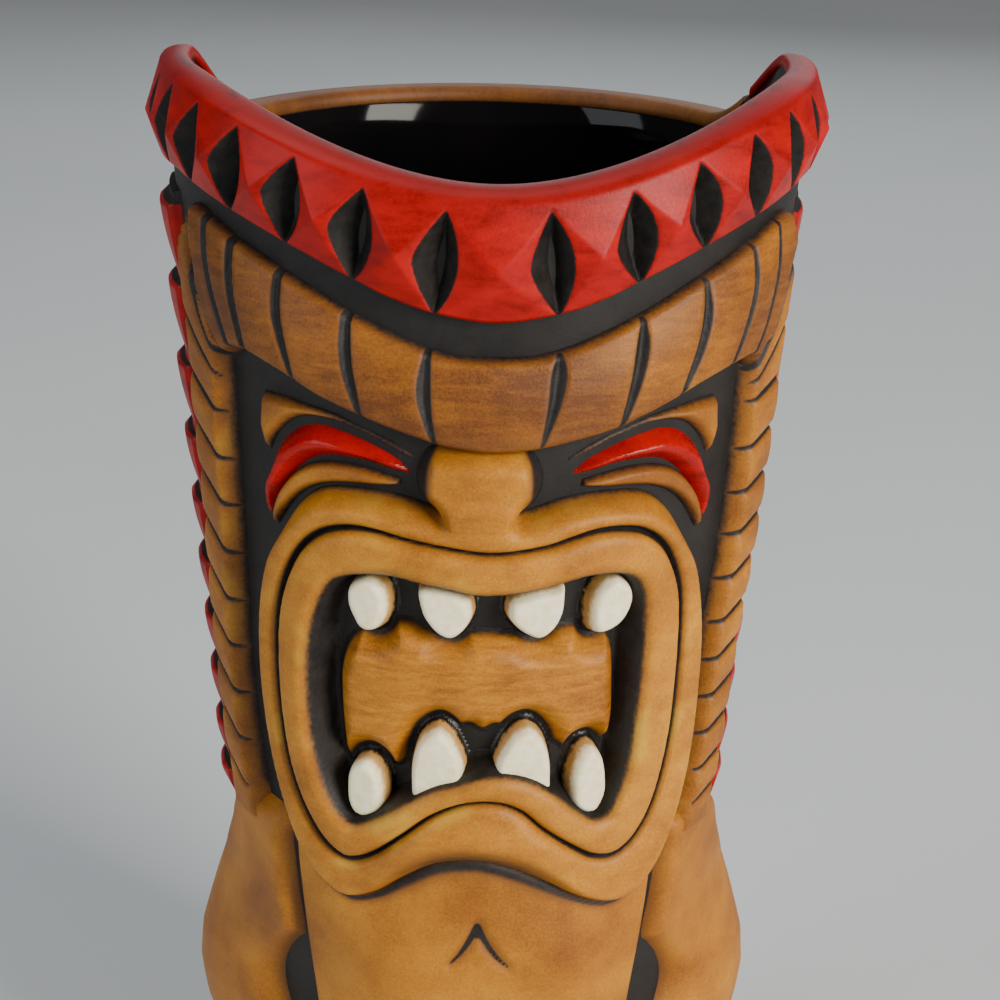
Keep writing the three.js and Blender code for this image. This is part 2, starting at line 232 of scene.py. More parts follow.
def paint_dark(shader, color):
    """Lays the grooves' charcoal over a colour at the piece's edge and in its cuts, and paints shade where the
    shade attribute is high: a darker brown, then charcoal.
    """
    wobble = shader.math("MULTIPLY", shader.math("SUBTRACT", shader.noise(1400, 3), 0.5), 0.42)
    charcoal = shader.ramp(shader.noise(420, 4, 0.65), [(0.35, CHARCOAL), (0.72, CHARCOAL_WORN)])
    edge = shader.math("ADD", shader.attribute("edge"), wobble)
    cut = shader.math("ADD", shader.attribute("cut"), shader.math("MULTIPLY", wobble, 0.3))
    shade = shader.attribute("shade")
    # Painted shade: the shade attribute darkens the colour towards brown, then the edges and cuts darken it.
    darkened = shader.mix(shader.span(shade, 0.0, 0.75), color, shader.mix(0.55, color, SHADE_BROWN))
    darkened = shader.mix(shader.span(edge, 1.3, 0.1, 0.0, 0.55), darkened, EDGE_BROWN)
    darkened = shader.mix(shader.span(cut, -0.7, 0.0, 0.0, 0.45), darkened, EDGE_BROWN)
    dark = shader.math("MAXIMUM", shader.span(edge, 0.62, 0.0), shader.span(cut, -0.28, 0.04))
    # Where the shade attribute is highest, the painted shade turns to charcoal.
    painted_shade = shader.math("ADD", shade, shader.math("MULTIPLY", wobble, 0.25))
    dark = shader.math("MAXIMUM", dark, shader.span(painted_shade, 0.62, 1.0))
    return shader.mix(dark, darkened, charcoal), dark


def brown_glaze(name, grain=(1, 1, 1), grain_scale=260.0, grain_depth=0.35, tone=0.5, ochre=0.0):
    """Tan glaze wiped over brown. Its streaks run across the axes where grain is largest."""
    shader = Shader(name)
    broad = shader.noise(70, 3, 0.5)
    streak = shader.noise(grain_scale, 5, 0.62, 0.6, grain)
    speckle = shader.noise(2600, 3, 0.7)
    value = shader.math("MULTIPLY", broad, 0.55)
    value = shader.math("ADD", value, shader.math("MULTIPLY", streak, grain_depth))
    value = shader.math("ADD", value, shader.math("MULTIPLY", speckle, 0.34))
    value = shader.math("ADD", value, tone - 0.275 - grain_depth / 2 - 0.17)
    tan = shader.ramp(value, [
        (0.22, (0.11, 0.030, 0.002)),
        (0.42, (0.26, 0.085, 0.004)),
        (0.58, (0.42, 0.160, 0.008)),
        (0.78, (0.62, 0.285, 0.022)),
    ])
    if ochre:
        patch = shader.math("MULTIPLY", shader.span(shader.noise(95, 2), 0.52, 0.68), ochre)
        patch = shader.math("MULTIPLY", patch, shader.span(shader.attribute("edge"), 3.2, 1.0))
        tan = shader.mix(patch, tan, (0.60, 0.38, 0.035))
    color, dark = paint_dark(shader, tan)
    shader.link(color, "Base Color")
    roughness = shader.span(speckle, 0.2, 0.8, 0.44, 0.58)
    shader.link(shader.math("ADD", roughness, shader.math("MULTIPLY", dark, 0.08)), "Roughness")
    shader.set(specular=0.32)
    shader.bump(shader.math("ADD", streak, shader.math("MULTIPLY", speckle, 0.8)), 0.22, 0.0004)
    return shader.material


def red_glaze(name, roughness):
    shader = Shader(name)
    streak = shader.noise(150, 5, 0.6, 0.4, (1, 1, 2.6))
    speckle = shader.noise(2200, 3, 0.7)
    value = shader.math("MULTIPLY", streak, 0.8)
    value = shader.math("ADD", value, shader.math("MULTIPLY", speckle, 0.2))
    red = shader.ramp(value, [
        (0.30, (0.15, 0.001, 0.0005)),
        (0.50, (0.33, 0.001, 0.0005)),
        (0.72, (0.45, 0.003, 0.0005)),
    ])
    # Painted shade: where the shade attribute is high the red darkens, broken up by its streaks, as in the
    # mane's creases and over the crown's rounded top.
    streaky_shade = shader.math("MULTIPLY", shader.attribute("shade"), shader.span(streak, 0.34, 0.62, 0.25, 1.0))
    red = shader.mix(streaky_shade, red, (0.085, 0.006, 0.005))
    wobble = shader.math("MULTIPLY", shader.math("SUBTRACT", shader.noise(1500, 3), 0.5), 0.3)
    cut = shader.math("ADD", shader.attribute("cut"), wobble)
    charcoal = shader.ramp(shader.noise(520, 4, 0.65), [(0.35, CHARCOAL), (0.75, CHARCOAL_WORN)])
    dark = shader.span(cut, -0.10, 0.14)
    shader.link(shader.mix(dark, red, charcoal), "Base Color")
    base = shader.span(speckle, 0.2, 0.8, roughness - 0.05, roughness + 0.07)
    shader.link(shader.math("ADD", base, shader.math("MULTIPLY", dark, 0.2)), "Roughness")
    shader.set(specular=0.2)
    shader.bump(shader.math("ADD", streak, speckle), 0.12, 0.0003)
    return shader.material


def cream_glaze(name):
    shader = Shader(name)
    blotch = shader.noise(700, 4, 0.6)
    stops = [(0.3, (0.86, 0.74, 0.40)), (0.6, (0.95, 0.88, 0.62)), (0.8, (0.97, 0.93, 0.74))]
    cream = shader.ramp(blotch, stops)
    wobble = shader.math("MULTIPLY", shader.math("SUBTRACT", shader.noise(1300, 3), 0.5), 0.35)
    edge = shader.math("ADD", shader.attribute("edge"), wobble)
    cream = shader.mix(shader.span(edge, 0.72, 0.34, 0.0, 0.9), cream, (0.46, 0.22, 0.035))
    cream = shader.mix(shader.span(edge, 0.26, 0.06), cream, CHARCOAL)
    shader.link(cream, "Base Color")
    shader.link(shader.span(blotch, 0.2, 0.8, 0.34, 0.48), "Roughness")
    shader.bump(blotch, 0.15, 0.0003)
    return shader.material


def charcoal_glaze(name):
    """The matte black-brown of the channels, with a little brown brushed over it."""
    shader = Shader(name)
    blotch = shader.noise(160, 5, 0.65)
    dust = shader.noise(2400, 3, 0.7)
    color = shader.ramp(blotch, [(0.3, CHARCOAL), (0.62, (0.013, 0.011, 0.010)), (0.85, CHARCOAL_WORN)])
    color = shader.mix(shader.span(dust, 0.62, 0.8, 0.0, 0.25), color, (0.08, 0.055, 0.035))
    # Lighter grey-brown streaks in the mouth's hollow: partly wiped glaze, partly a painted highlight along
    # its corner.
    wiped_and_lit = shader.span(shader.attribute("wiped_and_lit"), 0.0, 1.0, 0.0, 0.8)
    color = shader.mix(wiped_and_lit, color, (0.085, 0.062, 0.045))
    shader.link(color, "Base Color")
    shader.link(shader.span(dust, 0.2, 0.8, 0.50, 0.62), "Roughness")
    shader.set(specular=0.3)
    shader.bump(shader.math("ADD", blotch, dust), 0.15, 0.0003)
    return shader.material


def black_gloss(name):
    shader = Shader(name)
    ripple = shader.noise(60, 2, 0.4)
    black = shader.ramp(ripple, [(0.3, (0.0025, 0.0025, 0.003)), (0.7, (0.006, 0.005, 0.005))])
    shader.link(black, "Base Color")
    shader.link(shader.span(ripple, 0.3, 0.7, 0.05, 0.11), "Roughness")
    shader.set(specular=0.12)
    shader.bump(ripple, 0.1, 0.0004)
    return shader.material


def bare_clay(name):
    shader = Shader(name)
    grit = shader.noise(1800, 5, 0.7)
    clay = shader.ramp(grit, [(0.3, (0.42, 0.33, 0.22)), (0.7, (0.60, 0.50, 0.36))])
    shader.link(clay, "Base Color")
    shader.set(roughness=0.88)
    shader.bump(grit, 0.4, 0.0003)
    return shader.material


# ---------------------------------------------------------------- curves and distances on the wall


def wall_radius(z):
    return BASE_RADIUS + TAPER * z


def flat(points):
    """(degrees, height) to (arc length, height), both in mm."""
    points = np.asarray(points, float)
    arc = np.radians(points[:, 0]) * (wall_radius(points[:, 1]) + SKIN)
    return np.column_stack([arc, points[:, 1]])


def mirrored(points):
    return [(-a, *rest) for a, *rest in points]


def whole_edge(half):
    return mirrored(half[1:])[::-1] + list(half)


def whole_ring(half):
    return list(half) + mirrored(half[1:-1])[::-1]


def turned(points, degrees):
    return [(a + degrees, *rest) for a, *rest in points]


def smooth_curve(points, closed=False, per_span=8):
    """A Catmull-Rom curve through the points."""
    p = np.asarray(points, float)
    count = len(p) if closed else len(p) - 1
    out = []
    for i in range(count):
        if closed:
            a, b, c, d = (p[(i + k) % len(p)] for k in (-1, 0, 1, 2))
        else:
            b, c = p[i], p[i + 1]
            a = p[i - 1] if i else 2 * b - c
            d = p[i + 2] if i + 2 < len(p) else 2 * c - b
        for t in np.arange(per_span) / per_span:
            square, cube = 2 * a - 5 * b + 4 * c - d, 3 * b - a - 3 * c + d
            out.append(0.5 * (2 * b + (c - a) * t + square * t**2 + cube * t**3))
    if not closed:
        out.append(p[-1])
    return np.array(out)


def segment_distance(spots, line, widths=None):
    """Distance from each spot to a polyline, less the line's half width there."""
    best = np.full(len(spots), 1e9)
    for i in range(len(line) - 1):
        start, along = line[i], line[i + 1] - line[i]
        length2 = max(float(along @ along), 1e-12)
        t = np.clip(((spots - start) @ along) / length2, 0, 1)
        gap = np.hypot(*(spots - start - t[:, None] * along).T)
        if widths is not None:
            gap = gap - (widths[i] + t * (widths[i + 1] - widths[i]))
        best = np.minimum(best, gap)
    return best


def inside_distance(spots, ring):
    """Signed distance to a closed outline, + inside."""
    closed = np.vstack([ring, ring[:1]])
    inside = np.zeros(len(spots), bool)
    for (x0, y0), (x1, y1) in zip(closed[:-1], closed[1:]):
        if y0 == y1:
            continue
        crosses = (y0 > spots[:, 1]) != (y1 > spots[:, 1])
        inside ^= crosses & (spots[:, 0] < (x1 - x0) * (spots[:, 1] - y0) / (y1 - y0) + x0)
    return np.where(inside, 1, -1) * segment_distance(spots, closed)


def outline_distance(spots, points):
    return inside_distance(spots, flat(smooth_curve(points, closed=True)))


def strokes(spots, lines):
    """Signed depth inside tapered cuts, + inside. A line is a list of (degrees, height, half width)."""
    best = np.full(len(spots), -1e9)
    for line in lines:
        fine = smooth_curve(line, per_span=5)
        best = np.maximum(best, -segment_distance(spots, flat(fine[:, :2]), fine[:, 2]))
    return best


def ramp(distance, width):
    """0 at an edge, rising over width to 1, and going on down past the edge."""
    x = np.asarray(distance) / width
    return np.where(x < 0, x * math.pi / 2, np.sin(math.pi / 2 * np.minimum(x, 1)))


def smooth_step(x, low, high):
    t = np.clip((np.asarray(x) - low) / (high - low), 0, 1)
    return t * t * (3 - 2 * t)


def no_cut(edge):
    return np.full(len(edge), NO_CUT)


def soft_min(a, b, blend):
    h = np.clip(0.5 + 0.5 * (b - a) / blend, 0, 1)
    return b + (a - b) * h - blend * h * (1 - h)


# ---------------------------------------------------------------- meshes


def make_object(name, corners_mm, faces, material, attributes=None):
    mesh = bpy.data.meshes.new(name)
    mesh.from_pydata((np.asarray(corners_mm) * MM).tolist(), [], faces)
    for key, values in (attributes or {}).items():
        attribute = mesh.attributes.new(key, "FLOAT", "POINT")
        attribute.data.foreach_set("value", np.asarray(values, np.float32))
    mesh.polygons.foreach_set("use_smooth", [True] * len(mesh.polygons))
    mesh.materials.append(material)
    piece = bpy.data.objects.new(name, mesh)
    bpy.context.collection.objects.link(piece)
    return piece


def on_wall(degrees, z, proud):
    angle = np.radians(degrees)
    radius = wall_radius(z) + proud
    return np.column_stack([radius * np.sin(angle), -radius * np.cos(angle), z])


def relief(name, node, box, shape, material, spacing=FINE, slot="brown_glaze"):
    """A closed piece that stands out of the wall. box is (low degrees, high degrees, low z, high z).

    shape(spots, degrees, z) gives the distance inside the outline, the height above the wall and the
    attributes cut and shade, for spots given as (arc length, height). A fifth value, where it gives one,
    is the distance that the paint goes by in place of the first."""
    low_a, high_a, low_z, high_z = box
    middle = wall_radius((low_z + high_z) / 2) + SKIN
    columns = max(2, round(math.radians(high_a - low_a) * middle / spacing)) + 1
    rows = max(2, round((high_z - low_z) / spacing)) + 1
    across, up = np.linspace(low_a, high_a, columns), np.linspace(low_z, high_z, rows)
    degrees, z = (grid.ravel() for grid in np.meshgrid(across, up, indexing="ij"))
    edge, height, cut, shade, *painted = shape(flat(np.column_stack([degrees, z])), degrees, z)
    keep = cell_mask(edge.reshape(columns, rows) > -spacing)
    height = np.maximum(height, THINNEST - SUNK)
    corners, faces, used = closed_grid(keep, on_wall(degrees, z, height), on_wall(degrees, z, -SUNK))
    attributes = {}
    painted_edge = painted[0] if painted else edge
    for key, values in (("edge", painted_edge), ("cut", cut), ("shade", shade)):
        values = np.broadcast_to(values, edge.shape)[used]
        attributes[key] = np.concatenate([values, values])
    piece = make_object(name, corners, faces, material, attributes)
    place(piece, node, slot)


def cell_mask(points):
    """The lattice's cells that touch the shape, with none that meet only at a corner."""
    keep = points[:-1, :-1] | points[1:, :-1] | points[:-1, 1:] | points[1:, 1:]
    while True:
        a, b, c, d = keep[:-1, :-1], keep[1:, 1:], keep[1:, :-1], keep[:-1, 1:]
        rising = a & b & ~c & ~d
        falling = c & d & ~a & ~b
        if not (rising.any() or falling.any()):
            return keep
        keep[1:, :-1] |= rising
        keep[:-1, :-1] |= falling


def closed_grid(keep, top, bottom):
    """Corners and faces of a slab over the kept cells, and the lattice points it uses."""
    columns, rows = keep.shape[0] + 1, keep.shape[1] + 1
    index = np.arange(columns * rows).reshape(columns, rows)
    i, j = np.nonzero(keep)
    quads = np.column_stack([index[i, j], index[i + 1, j], index[i + 1, j + 1], index[i, j + 1]])
    used = np.unique(quads)
    renumber = np.full(columns * rows, -1)
    renumber[used] = np.arange(len(used))
    quads = renumber[quads]
    under = quads[:, ::-1] + len(used)
    edges = np.concatenate([quads[:, [k, (k + 1) % 4]] for k in range(4)])
    key = edges[:, 0].astype(np.int64) * (len(used) + 1) + edges[:, 1]
    back = edges[:, 1].astype(np.int64) * (len(used) + 1) + edges[:, 0]
    rim = edges[~np.isin(key, back)]
    walls = np.column_stack([rim[:, 1], rim[:, 0], rim[:, 0] + len(used), rim[:, 1] + len(used)])
    faces = np.concatenate([quads, under, walls]).tolist()
    return np.concatenate([top[used], bottom[used]]), faces, used


def loft(name, sections, material, closed=True, attributes=None):
    """A body through sections of equal length, each a closed loop. Open rows of sections get end caps."""
    sections = np.asarray(sections, float)
    count, size = sections.shape[:2]
    faces = []
    for i in range(count if closed else count - 1):
        n = (i + 1) % count
        for j in range(size):
            k = (j + 1) % size
            faces.append((i * size + j, n * size + j, n * size + k, i * size + k))
    if not closed:
        faces.append(tuple(range(size)))
        faces.append(tuple((count - 1) * size + j for j in reversed(range(size))))
    return make_object(name, sections.reshape(-1, 3), faces, material, attributes)


# ---------------------------------------------------------------- rim and cup


def rim_height(degrees):
    a = np.abs(degrees)
    front = RIM_FRONT + (RIM_EAR - RIM_FRONT) * smooth_step(a, 0, 70)
    return front - (RIM_EAR - RIM_BACK) * smooth_step(a, 92, 125)


def at(degrees, profile):
    """A section's corners, from (radius, height) pairs."""
    angle = math.radians(degrees)
    return [(r * math.sin(angle), -r * math.cos(angle), z) for r, z in profile]


CUP_TURNS = 360
MOUTH_SPAN = (80.5, 134)  # heights between which the wall is fine enough for the mouth's hollow
RIM_COVER = 0.9  # how far the cup's own rim lies under the glazed bands on it
FLOOR_ROUNDING = 4.0
# Lighter grey-brown streaks in the mouth's hollow: partly wiped glaze, partly a painted highlight along the
# hollow's corner.
RECESS_STREAKS = [
    [(-32.5, 119.4, 0.25), (-35.7, 113.4, 0.3), (-37.3, 105.6, 0.35), (-37.1, 97.9, 0.35), (-35.9, 92.4, 0.2)],
    [(30.6, 117.7, 0.15), (31.4, 107.6, 0.2), (31.2, 100, 0.15)],
]


def make_cup(outside, inside):
    """The wall and floor. The mouth's hollow is sunk into the outside."""
    below = np.linspace(FOOT_HEIGHT, 80, 40)
    mouth = np.linspace(*MOUTH_SPAN, 108)
    above = np.linspace(136, 176, 20)
    heights = np.concatenate([below, mouth, above])
    turns = np.arange(CUP_TURNS) * 360 / CUP_TURNS - 180
    degrees, z = (grid.ravel() for grid in np.meshgrid(turns, heights, indexing="ij"))
    spots = flat(np.column_stack([degrees, z]))
    depth, wiped_and_lit = np.zeros(len(spots)), np.zeros(len(spots))
    near = np.abs(degrees) < 45
    depth[near] = MOUTH_DEPTH * ramp(np.maximum(outline_distance(spots[near], MOUTH), 0), 1.5)
    wiped_and_lit[near] = smooth_step(strokes(spots[near], RECESS_STREAKS), -0.5, 0.1)
    radius = (wall_radius(z) - depth).reshape(CUP_TURNS, -1)
    wiped_and_lit = wiped_and_lit.reshape(CUP_TURNS, -1)
    corners, attribute = [], []
    for i, a in enumerate(turns):
        rim = float(rim_height(a)) - RIM_COVER
        outer = list(zip(radius[i], heights))
        outer += [(wall_radius(v), v) for v in np.linspace(heights[-1], rim - 0.5, 4)[1:]]
        outer += [(wall_radius(rim) - 0.5, rim), (wall_radius(rim) - WALL + 0.5, rim)]
        inner = [(wall_radius(v) - WALL, v) for v in np.linspace(rim - 0.5, 150, 6)]
        inner += [(wall_radius(v) - WALL, v) for v in np.linspace(145, FLOOR_TOP + FLOOR_ROUNDING, 14)]
        corner = wall_radius(FLOOR_TOP) - WALL - FLOOR_ROUNDING
        for t in np.radians(np.linspace(15, 90, 6)):
            lift = FLOOR_ROUNDING * (1 - math.sin(t))
            inner.append((corner + FLOOR_ROUNDING * math.cos(t), FLOOR_TOP + lift))
        inner.append((corner / 2, FLOOR_TOP))
        corners += at(a, outer + inner)
        attribute += [*wiped_and_lit[i], *[0.0] * (len(outer) + len(inner) - len(heights))]
    turn_over, rows = len(outer), len(outer) + len(inner)
    bottom, top = len(corners), len(corners) + 1
    corners += [(0, 0, FOOT_HEIGHT), (0, 0, FLOOR_TOP)]
    attribute += [0.0, 0.0]
    faces, materials = [], []
    for i in range(CUP_TURNS):
        n = (i + 1) % CUP_TURNS
        faces.append((bottom, n * rows, i * rows))
        faces.append((i * rows + rows - 1, n * rows + rows - 1, top))
        materials += [0, 1]
        for j in range(rows - 1):
            faces.append((i * rows + j, n * rows + j, n * rows + j + 1, i * rows + j + 1))
            materials.append(int(j >= turn_over - 1))
    cup = make_object("cup", corners, faces, outside, {"wiped_and_lit": attribute})
    cup.data.materials.append(inside)
    cup.data.polygons.foreach_set("material_index", materials)
    place(cup, "cup_wall", "dark_glaze")


def place(piece, node, slot):
    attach(piece, "root")
    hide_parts(node)


FOOT_RADIUS = 29.5


def make_base(material):
    """A disc with a raised ring to stand on."""
    top = FOOT_HEIGHT + 0.3
    ring = [(0.01, 0.5), (21.5, 0.5), (22.4, 0.0), (28.3, 0.0), (29.2, 0.35), (FOOT_RADIUS, 1.2)]
    profile = ring + [(FOOT_RADIUS, top), (0.01, top)]
    base = loft("foot_disc", [at(-a, profile) for a in range(0, 360, 3)], material)
    place(base, "base", "bare_clay")


# ---------------------------------------------------------------- crown

CROWN_END = 109.0
CROWN_LOW = [
    (0, 163.5), (10.5, 164.6), (17.6, 166.2), (24.2, 168.3), (37, 171.9), (49.6, 174.6), (61, 176.3),
    (70, 176.8), (90, 175.6), (CROWN_END, 173.6),
]
# Degrees of each notch at the band's top and foot, on both sides. CROWN_ENDS closes the last pyramid.
NOTCH_TOPS = [8.1, 21.3, 33.2, 44.7, 55.2, 66.2, 77.3, 88.6, 99.8]
NOTCH_FEET = [10.1, 23.8, 36.1, 48.3, 60.4, 71.8, 82.8, 93.6, 104.2]
CROWN_ENDS = (111.5, 114.8)
NOTCH_DEPTH = 2.5  # below the band
NOTCH_LEFT = 3.4  # greatest half width of a notch, seen from outside
NOTCH_RIGHT = 2.4
CROWN_BASE = 1.9  # height above the wall where four pyramids meet
CROWN_APEX = 2.3  # of each pyramid above that
EAR_NARROWING = 1.3  # at the sides the band stands out that much less
CROWN_ROWS = 50
CROWN_ROLL = (14, 28, 42, 56, 70, 82)  # degrees of the rounded edge over the front
# The shade of the rounded edge, the rim's top and inside, and the hidden underside, in that order.
CROWN_SHADE = [0.22, 0.3, 0.36, 0.42, 0.55, 0.85, 0.95, 0.4, 0.2, 0.2, 0.4, 0.8, 0.8, 0.8]
INNER_LIP = 0.25  # how far the crown stands in over the cup's inside


def crown_height(degrees, z, low, fold):
    """Height of the pyramids and notches above the wall, and how far inside a notch each place is."""
    a = abs(degrees)
    v = np.clip((z - low) / (fold - low), 0, 1)
    tops = np.array([-NOTCH_TOPS[0], *NOTCH_TOPS, CROWN_ENDS[0]])
    feet = np.array([-NOTCH_FEET[0], *NOTCH_FEET, CROWN_ENDS[1]])
    valleys = feet[:, None] + (tops - feet)[:, None] * v
    cell = np.clip((valleys <= a).sum(0) - 1, 0, len(tops) - 2)
    left, right = valleys[cell, np.arange(len(v))], valleys[cell + 1, np.arange(len(v))]
    per_degree = np.radians(1) * (wall_radius(z) + SKIN)
    width = (right - left) * per_degree
    u = (a - left) / (right - left)
    middle = 1 - np.abs(2 * v - 1)
    pyramid = CROWN_BASE + CROWN_APEX * np.minimum(1 - np.abs(2 * u - 1), middle)
    # In the nearer notch: how far from its valley, and its half width on that side.
    outward = u < 0.5
    from_valley = np.minimum(u, 1 - u) * width
    to_the_right = outward == (degrees >= 0)
    leaf_right = NOTCH_RIGHT * (1 - (1 - middle) ** 2.0)
    leaf_left = NOTCH_LEFT * (1 - (1 - middle) ** 1.45)
    leaf = np.where(to_the_right, leaf_right, leaf_left)
    leaf = np.maximum(np.minimum(leaf, 0.46 * width), 1e-3)
    side = CROWN_BASE + CROWN_APEX * np.minimum(2 * leaf / width, middle)
    valley = CROWN_BASE - NOTCH_DEPTH * (1 - (1 - middle) ** 2.2)
    share = np.clip(from_valley / leaf, 0, 1)
    notch = valley + (side - valley) * share
    return np.where(from_valley < leaf, notch, pyramid), leaf - from_valley


def make_crown(material):
    low_curve = smooth_curve(whole_edge(CROWN_LOW))
    rows = CROWN_ROWS
    sections, cut, shade = [], [], []
    for a in np.linspace(-CROWN_END, CROWN_END, 657):
        rim = float(rim_height(a))
        low = float(np.interp(a, low_curve[:, 0], low_curve[:, 1]))
        fold = rim - 2.7 + 1.2 * float(smooth_step(abs(a), 8, 45))
        end = float(ramp(CROWN_END - abs(a), 3.0))  # rounds the band down at its ends
        z = np.linspace(low + 0.1, fold, rows)
        height, inside = crown_height(a, z, low, fold)
        height = height * ramp(z - low + 0.15, 0.9) * (0.25 + 0.75 * end)
        height = height - EAR_NARROWING * float(smooth_step(abs(a), 45, 80)) * np.linspace(0.5, 1, rows)
        out = wall_radius(fold) + height[-1]
        inner = wall_radius(rim) - WALL - INNER_LIP
        face = [(wall_radius(v) + h, v) for v, h in zip(z, height)]
        top = []
        for t in np.radians(CROWN_ROLL):
            across = inner + 1.2 + (out - inner - 1.2) * math.cos(t)
            top.append((across, fold + (rim - fold) * math.sin(t)))
        lip = [(1.0, 0), (0.5, 0.08), (0.12, 0.4), (0, 0.9), (0, 1.9)]
        top += [(inner + over, rim - under) for over, under in lip]
        hidden = [(inner + 1.5, rim - 2.4)]
        hidden += [(wall_radius(low) - SUNK, low + 0.6), (wall_radius(low) - 0.3, low - 0.1)]
        sections.append(at(a, face + top + hidden))
        cut += [*inside, *[-1.0] * (len(top) + len(hidden))]
        # The band gets darker towards its fold, leading into the shade over the rounded edge.
        darker_to_fold = 0.16 * smooth_step(z, low + 0.7 * (fold - low), fold)
        shade += [*darker_to_fold, *CROWN_SHADE]
    attributes = {"cut": cut, "shade": shade}
    crown = loft("crown", sections, material, closed=False, attributes=attributes)
    place(crown, "crown_band", "red_glaze")


# ---------------------------------------------------------------- brow, braids, mane and back

BROW_LOW = [
    (-51.8, 153.9), (-49.5, 154.9), (-45.8, 155.1), (-40.4, 154.1), (-35.2, 152.7), (-30.8, 151.3),
    (-22.2, 149.2), (-14.8, 147.5), (-8.7, 146.2), (-3.6, 145.6), (0.4, 145.4), (6, 145.7), (12.7, 146.6),
    (21.4, 148.1), (26, 149.3), (32.9, 151.2), (37.6, 152.5), (44.4, 153.8), (50.1, 154.3), (52, 153.6),
]
SIDE_SEAM = {  # the lowest slash at each side, where the brow meets the braid
    1: [(53.2, 152.4), (54.6, 153.5), (59.4, 158), (62.8, 163.4), (67.2, 168.6)],
    -1: [(52.8, 153.6), (56, 155.5), (59.7, 160.6), (62.3, 166.4), (64.4, 172.4)],
}
BROW_HIGH = [
    (0, 158.8), (5.7, 158.9), (11, 159.7), (18, 161.5), (26.7, 164.2), (38.5, 168), (49.5, 170.8), (60, 173.2),
    (64.6, 173),
]
SLASHES = [  # top to bottom, each (degrees, height, half width)
    [(-11.2, 160, 0.35), (-11.6, 154.9, 0.85), (-10.9, 150.8, 0.55), (-9.6, 147.3, 0.15)],
    [(-25.4, 165, 0.6), (-24.9, 158.8, 0.75), (-23.7, 154.1, 0.6), (-22.1, 149.6, 0.15)],
    [(-38.5, 169.5, 0.5), (-38.1, 163.5, 0.65), (-36.6, 158.5, 0.5), (-34.6, 153.1, 0.12)],
    [(-49.2, 173, 0.7), (-49.4, 168.9, 0.65), (-48.2, 163.7, 0.7), (-46.2, 157.5, 0.5), (-45, 155.2, 0.15)],
    [(-57.4, 174, 0.6), (-56.7, 169.2, 0.6), (-54.2, 162.6, 0.65), (-50.8, 156.8, 0.4), (-48.9, 154.9, 0.12)],
    [(-63.7, 173.4, 0.3), (-62.2, 166.7, 0.6), (-59.7, 160.8, 0.65), (-56, 155.8, 0.45), (-51.8, 153.9, 0.12)],
    [(10.8, 159.1, 0.35), (10.5, 156.6, 0.95), (9.4, 151.8, 0.6), (7.9, 147.2, 0.12)],
    [(25.3, 163.2, 0.3), (24.8, 159.6, 0.85), (23.1, 153.4, 0.6), (21.2, 148.4, 0.12)],
    [(37.7, 167.4, 0.25), (37.5, 163.4, 0.65), (35.8, 158, 0.6), (32.5, 151.6, 0.12)],
    [(49.5, 171, 0.2), (49.4, 166, 0.45), (46.9, 159.3, 0.4), (43.6, 153.9, 0.1)],
    [(58, 173, 0.2), (56.9, 165.3, 0.4), (54.5, 158.9, 0.35), (50.6, 154.6, 0.1)],
    [(67.3, 168.7, 0.2), (62.8, 163.5, 0.38), (59.3, 157.9, 0.35), (54.4, 153.4, 0.1)],
]
BROW_PROUD = 3.5
BRAID_PROUD = 2.9


def brow_shape(spots, degrees, z):
    low = flat(smooth_curve(BROW_LOW))
    right, left = SIDE_SEAM[1], mirrored(SIDE_SEAM[-1])
    high = smooth_curve(whole_edge(BROW_HIGH))
    ring = flat(np.vstack([smooth_curve(BROW_LOW), right, high[::-1], left[::-1]]))
    edge = inside_distance(spots, ring)
    a = np.abs(degrees)
    from_low = np.where(edge < 0, edge, segment_distance(spots, low))
    proud = BROW_PROUD + (BRAID_PROUD - BROW_PROUD) * smooth_step(a, 44, 60)
    from_top = np.where(edge < 0, edge, segment_distance(spots, flat(high)))
    sloping = 1.5 * ramp(from_top, 0.9) + (proud - 1.5) * ramp(np.maximum(from_top, 0), 9.0)
    rounded = np.minimum(sloping, proud * ramp(edge + 0.1, 1.8))
    height = soft_min(proud * ramp(from_low, 1.6), rounded, 0.5)
    # Below its ends the band runs on into the braids without a step.
    from_seam = np.minimum(segment_distance(spots, flat(right)), segment_distance(spots, flat(left)))
    joint = smooth_step(-from_seam, -2.6, -1.0) * smooth_step(166.5 - z, 0, 4) * smooth_step(a, 54.5, 57.5)
    height = np.where(edge > -0.5, height + (proud - height) * joint, height)
    cut = strokes(spots, SLASHES)
    height = height - 0.85 * smooth_step(cut, -0.35, 0.8)
    shade = 0.46 * np.exp(-(((from_low - 1.4) / 2.4) ** 2)) * smooth_step(30 - a, 0, 25)
    return edge, height, cut, shade, edge + 3 * joint


BRAID_INNER = [
    (52.2, 156), (52.6, 153), (52.6, 148.5), (53.2, 142), (53.6, 132), (53.6, 122), (53.2, 114), (53.4, 106),
    (52.9, 96), (51.4, 87), (50, 80),
]
BRAID_OUTER = [(67, 171.5), (66.8, 166), (66.4, 158), (66, 145), (66, 124), (65.6, 106), (65, 94), (63, 80)]
LEFT_NOTCHES = [145.6, 138.4, 131.4, 124, 116.5, 109, 101.6, 94.2, 86.9]
RIGHT_NOTCHES = [148.2, 141, 134.3, 128, 121.4, 114.9, 109, 103.1, 97.3, 91.6, 86.2]
BRAID_STRAY = {1: 0.3, -1: -1.62}  # degrees towards the middle of the face, above the bend
BRAID_BEND = {1: 2.6, -1: -2.6}  # how much that grows down to the bend's lower end


def braid_drift(side, z):
    """How far round each braid has strayed, in degrees towards the middle of the face."""
    return BRAID_STRAY[side] + BRAID_BEND[side] * smooth_step(-z, -132, -106)


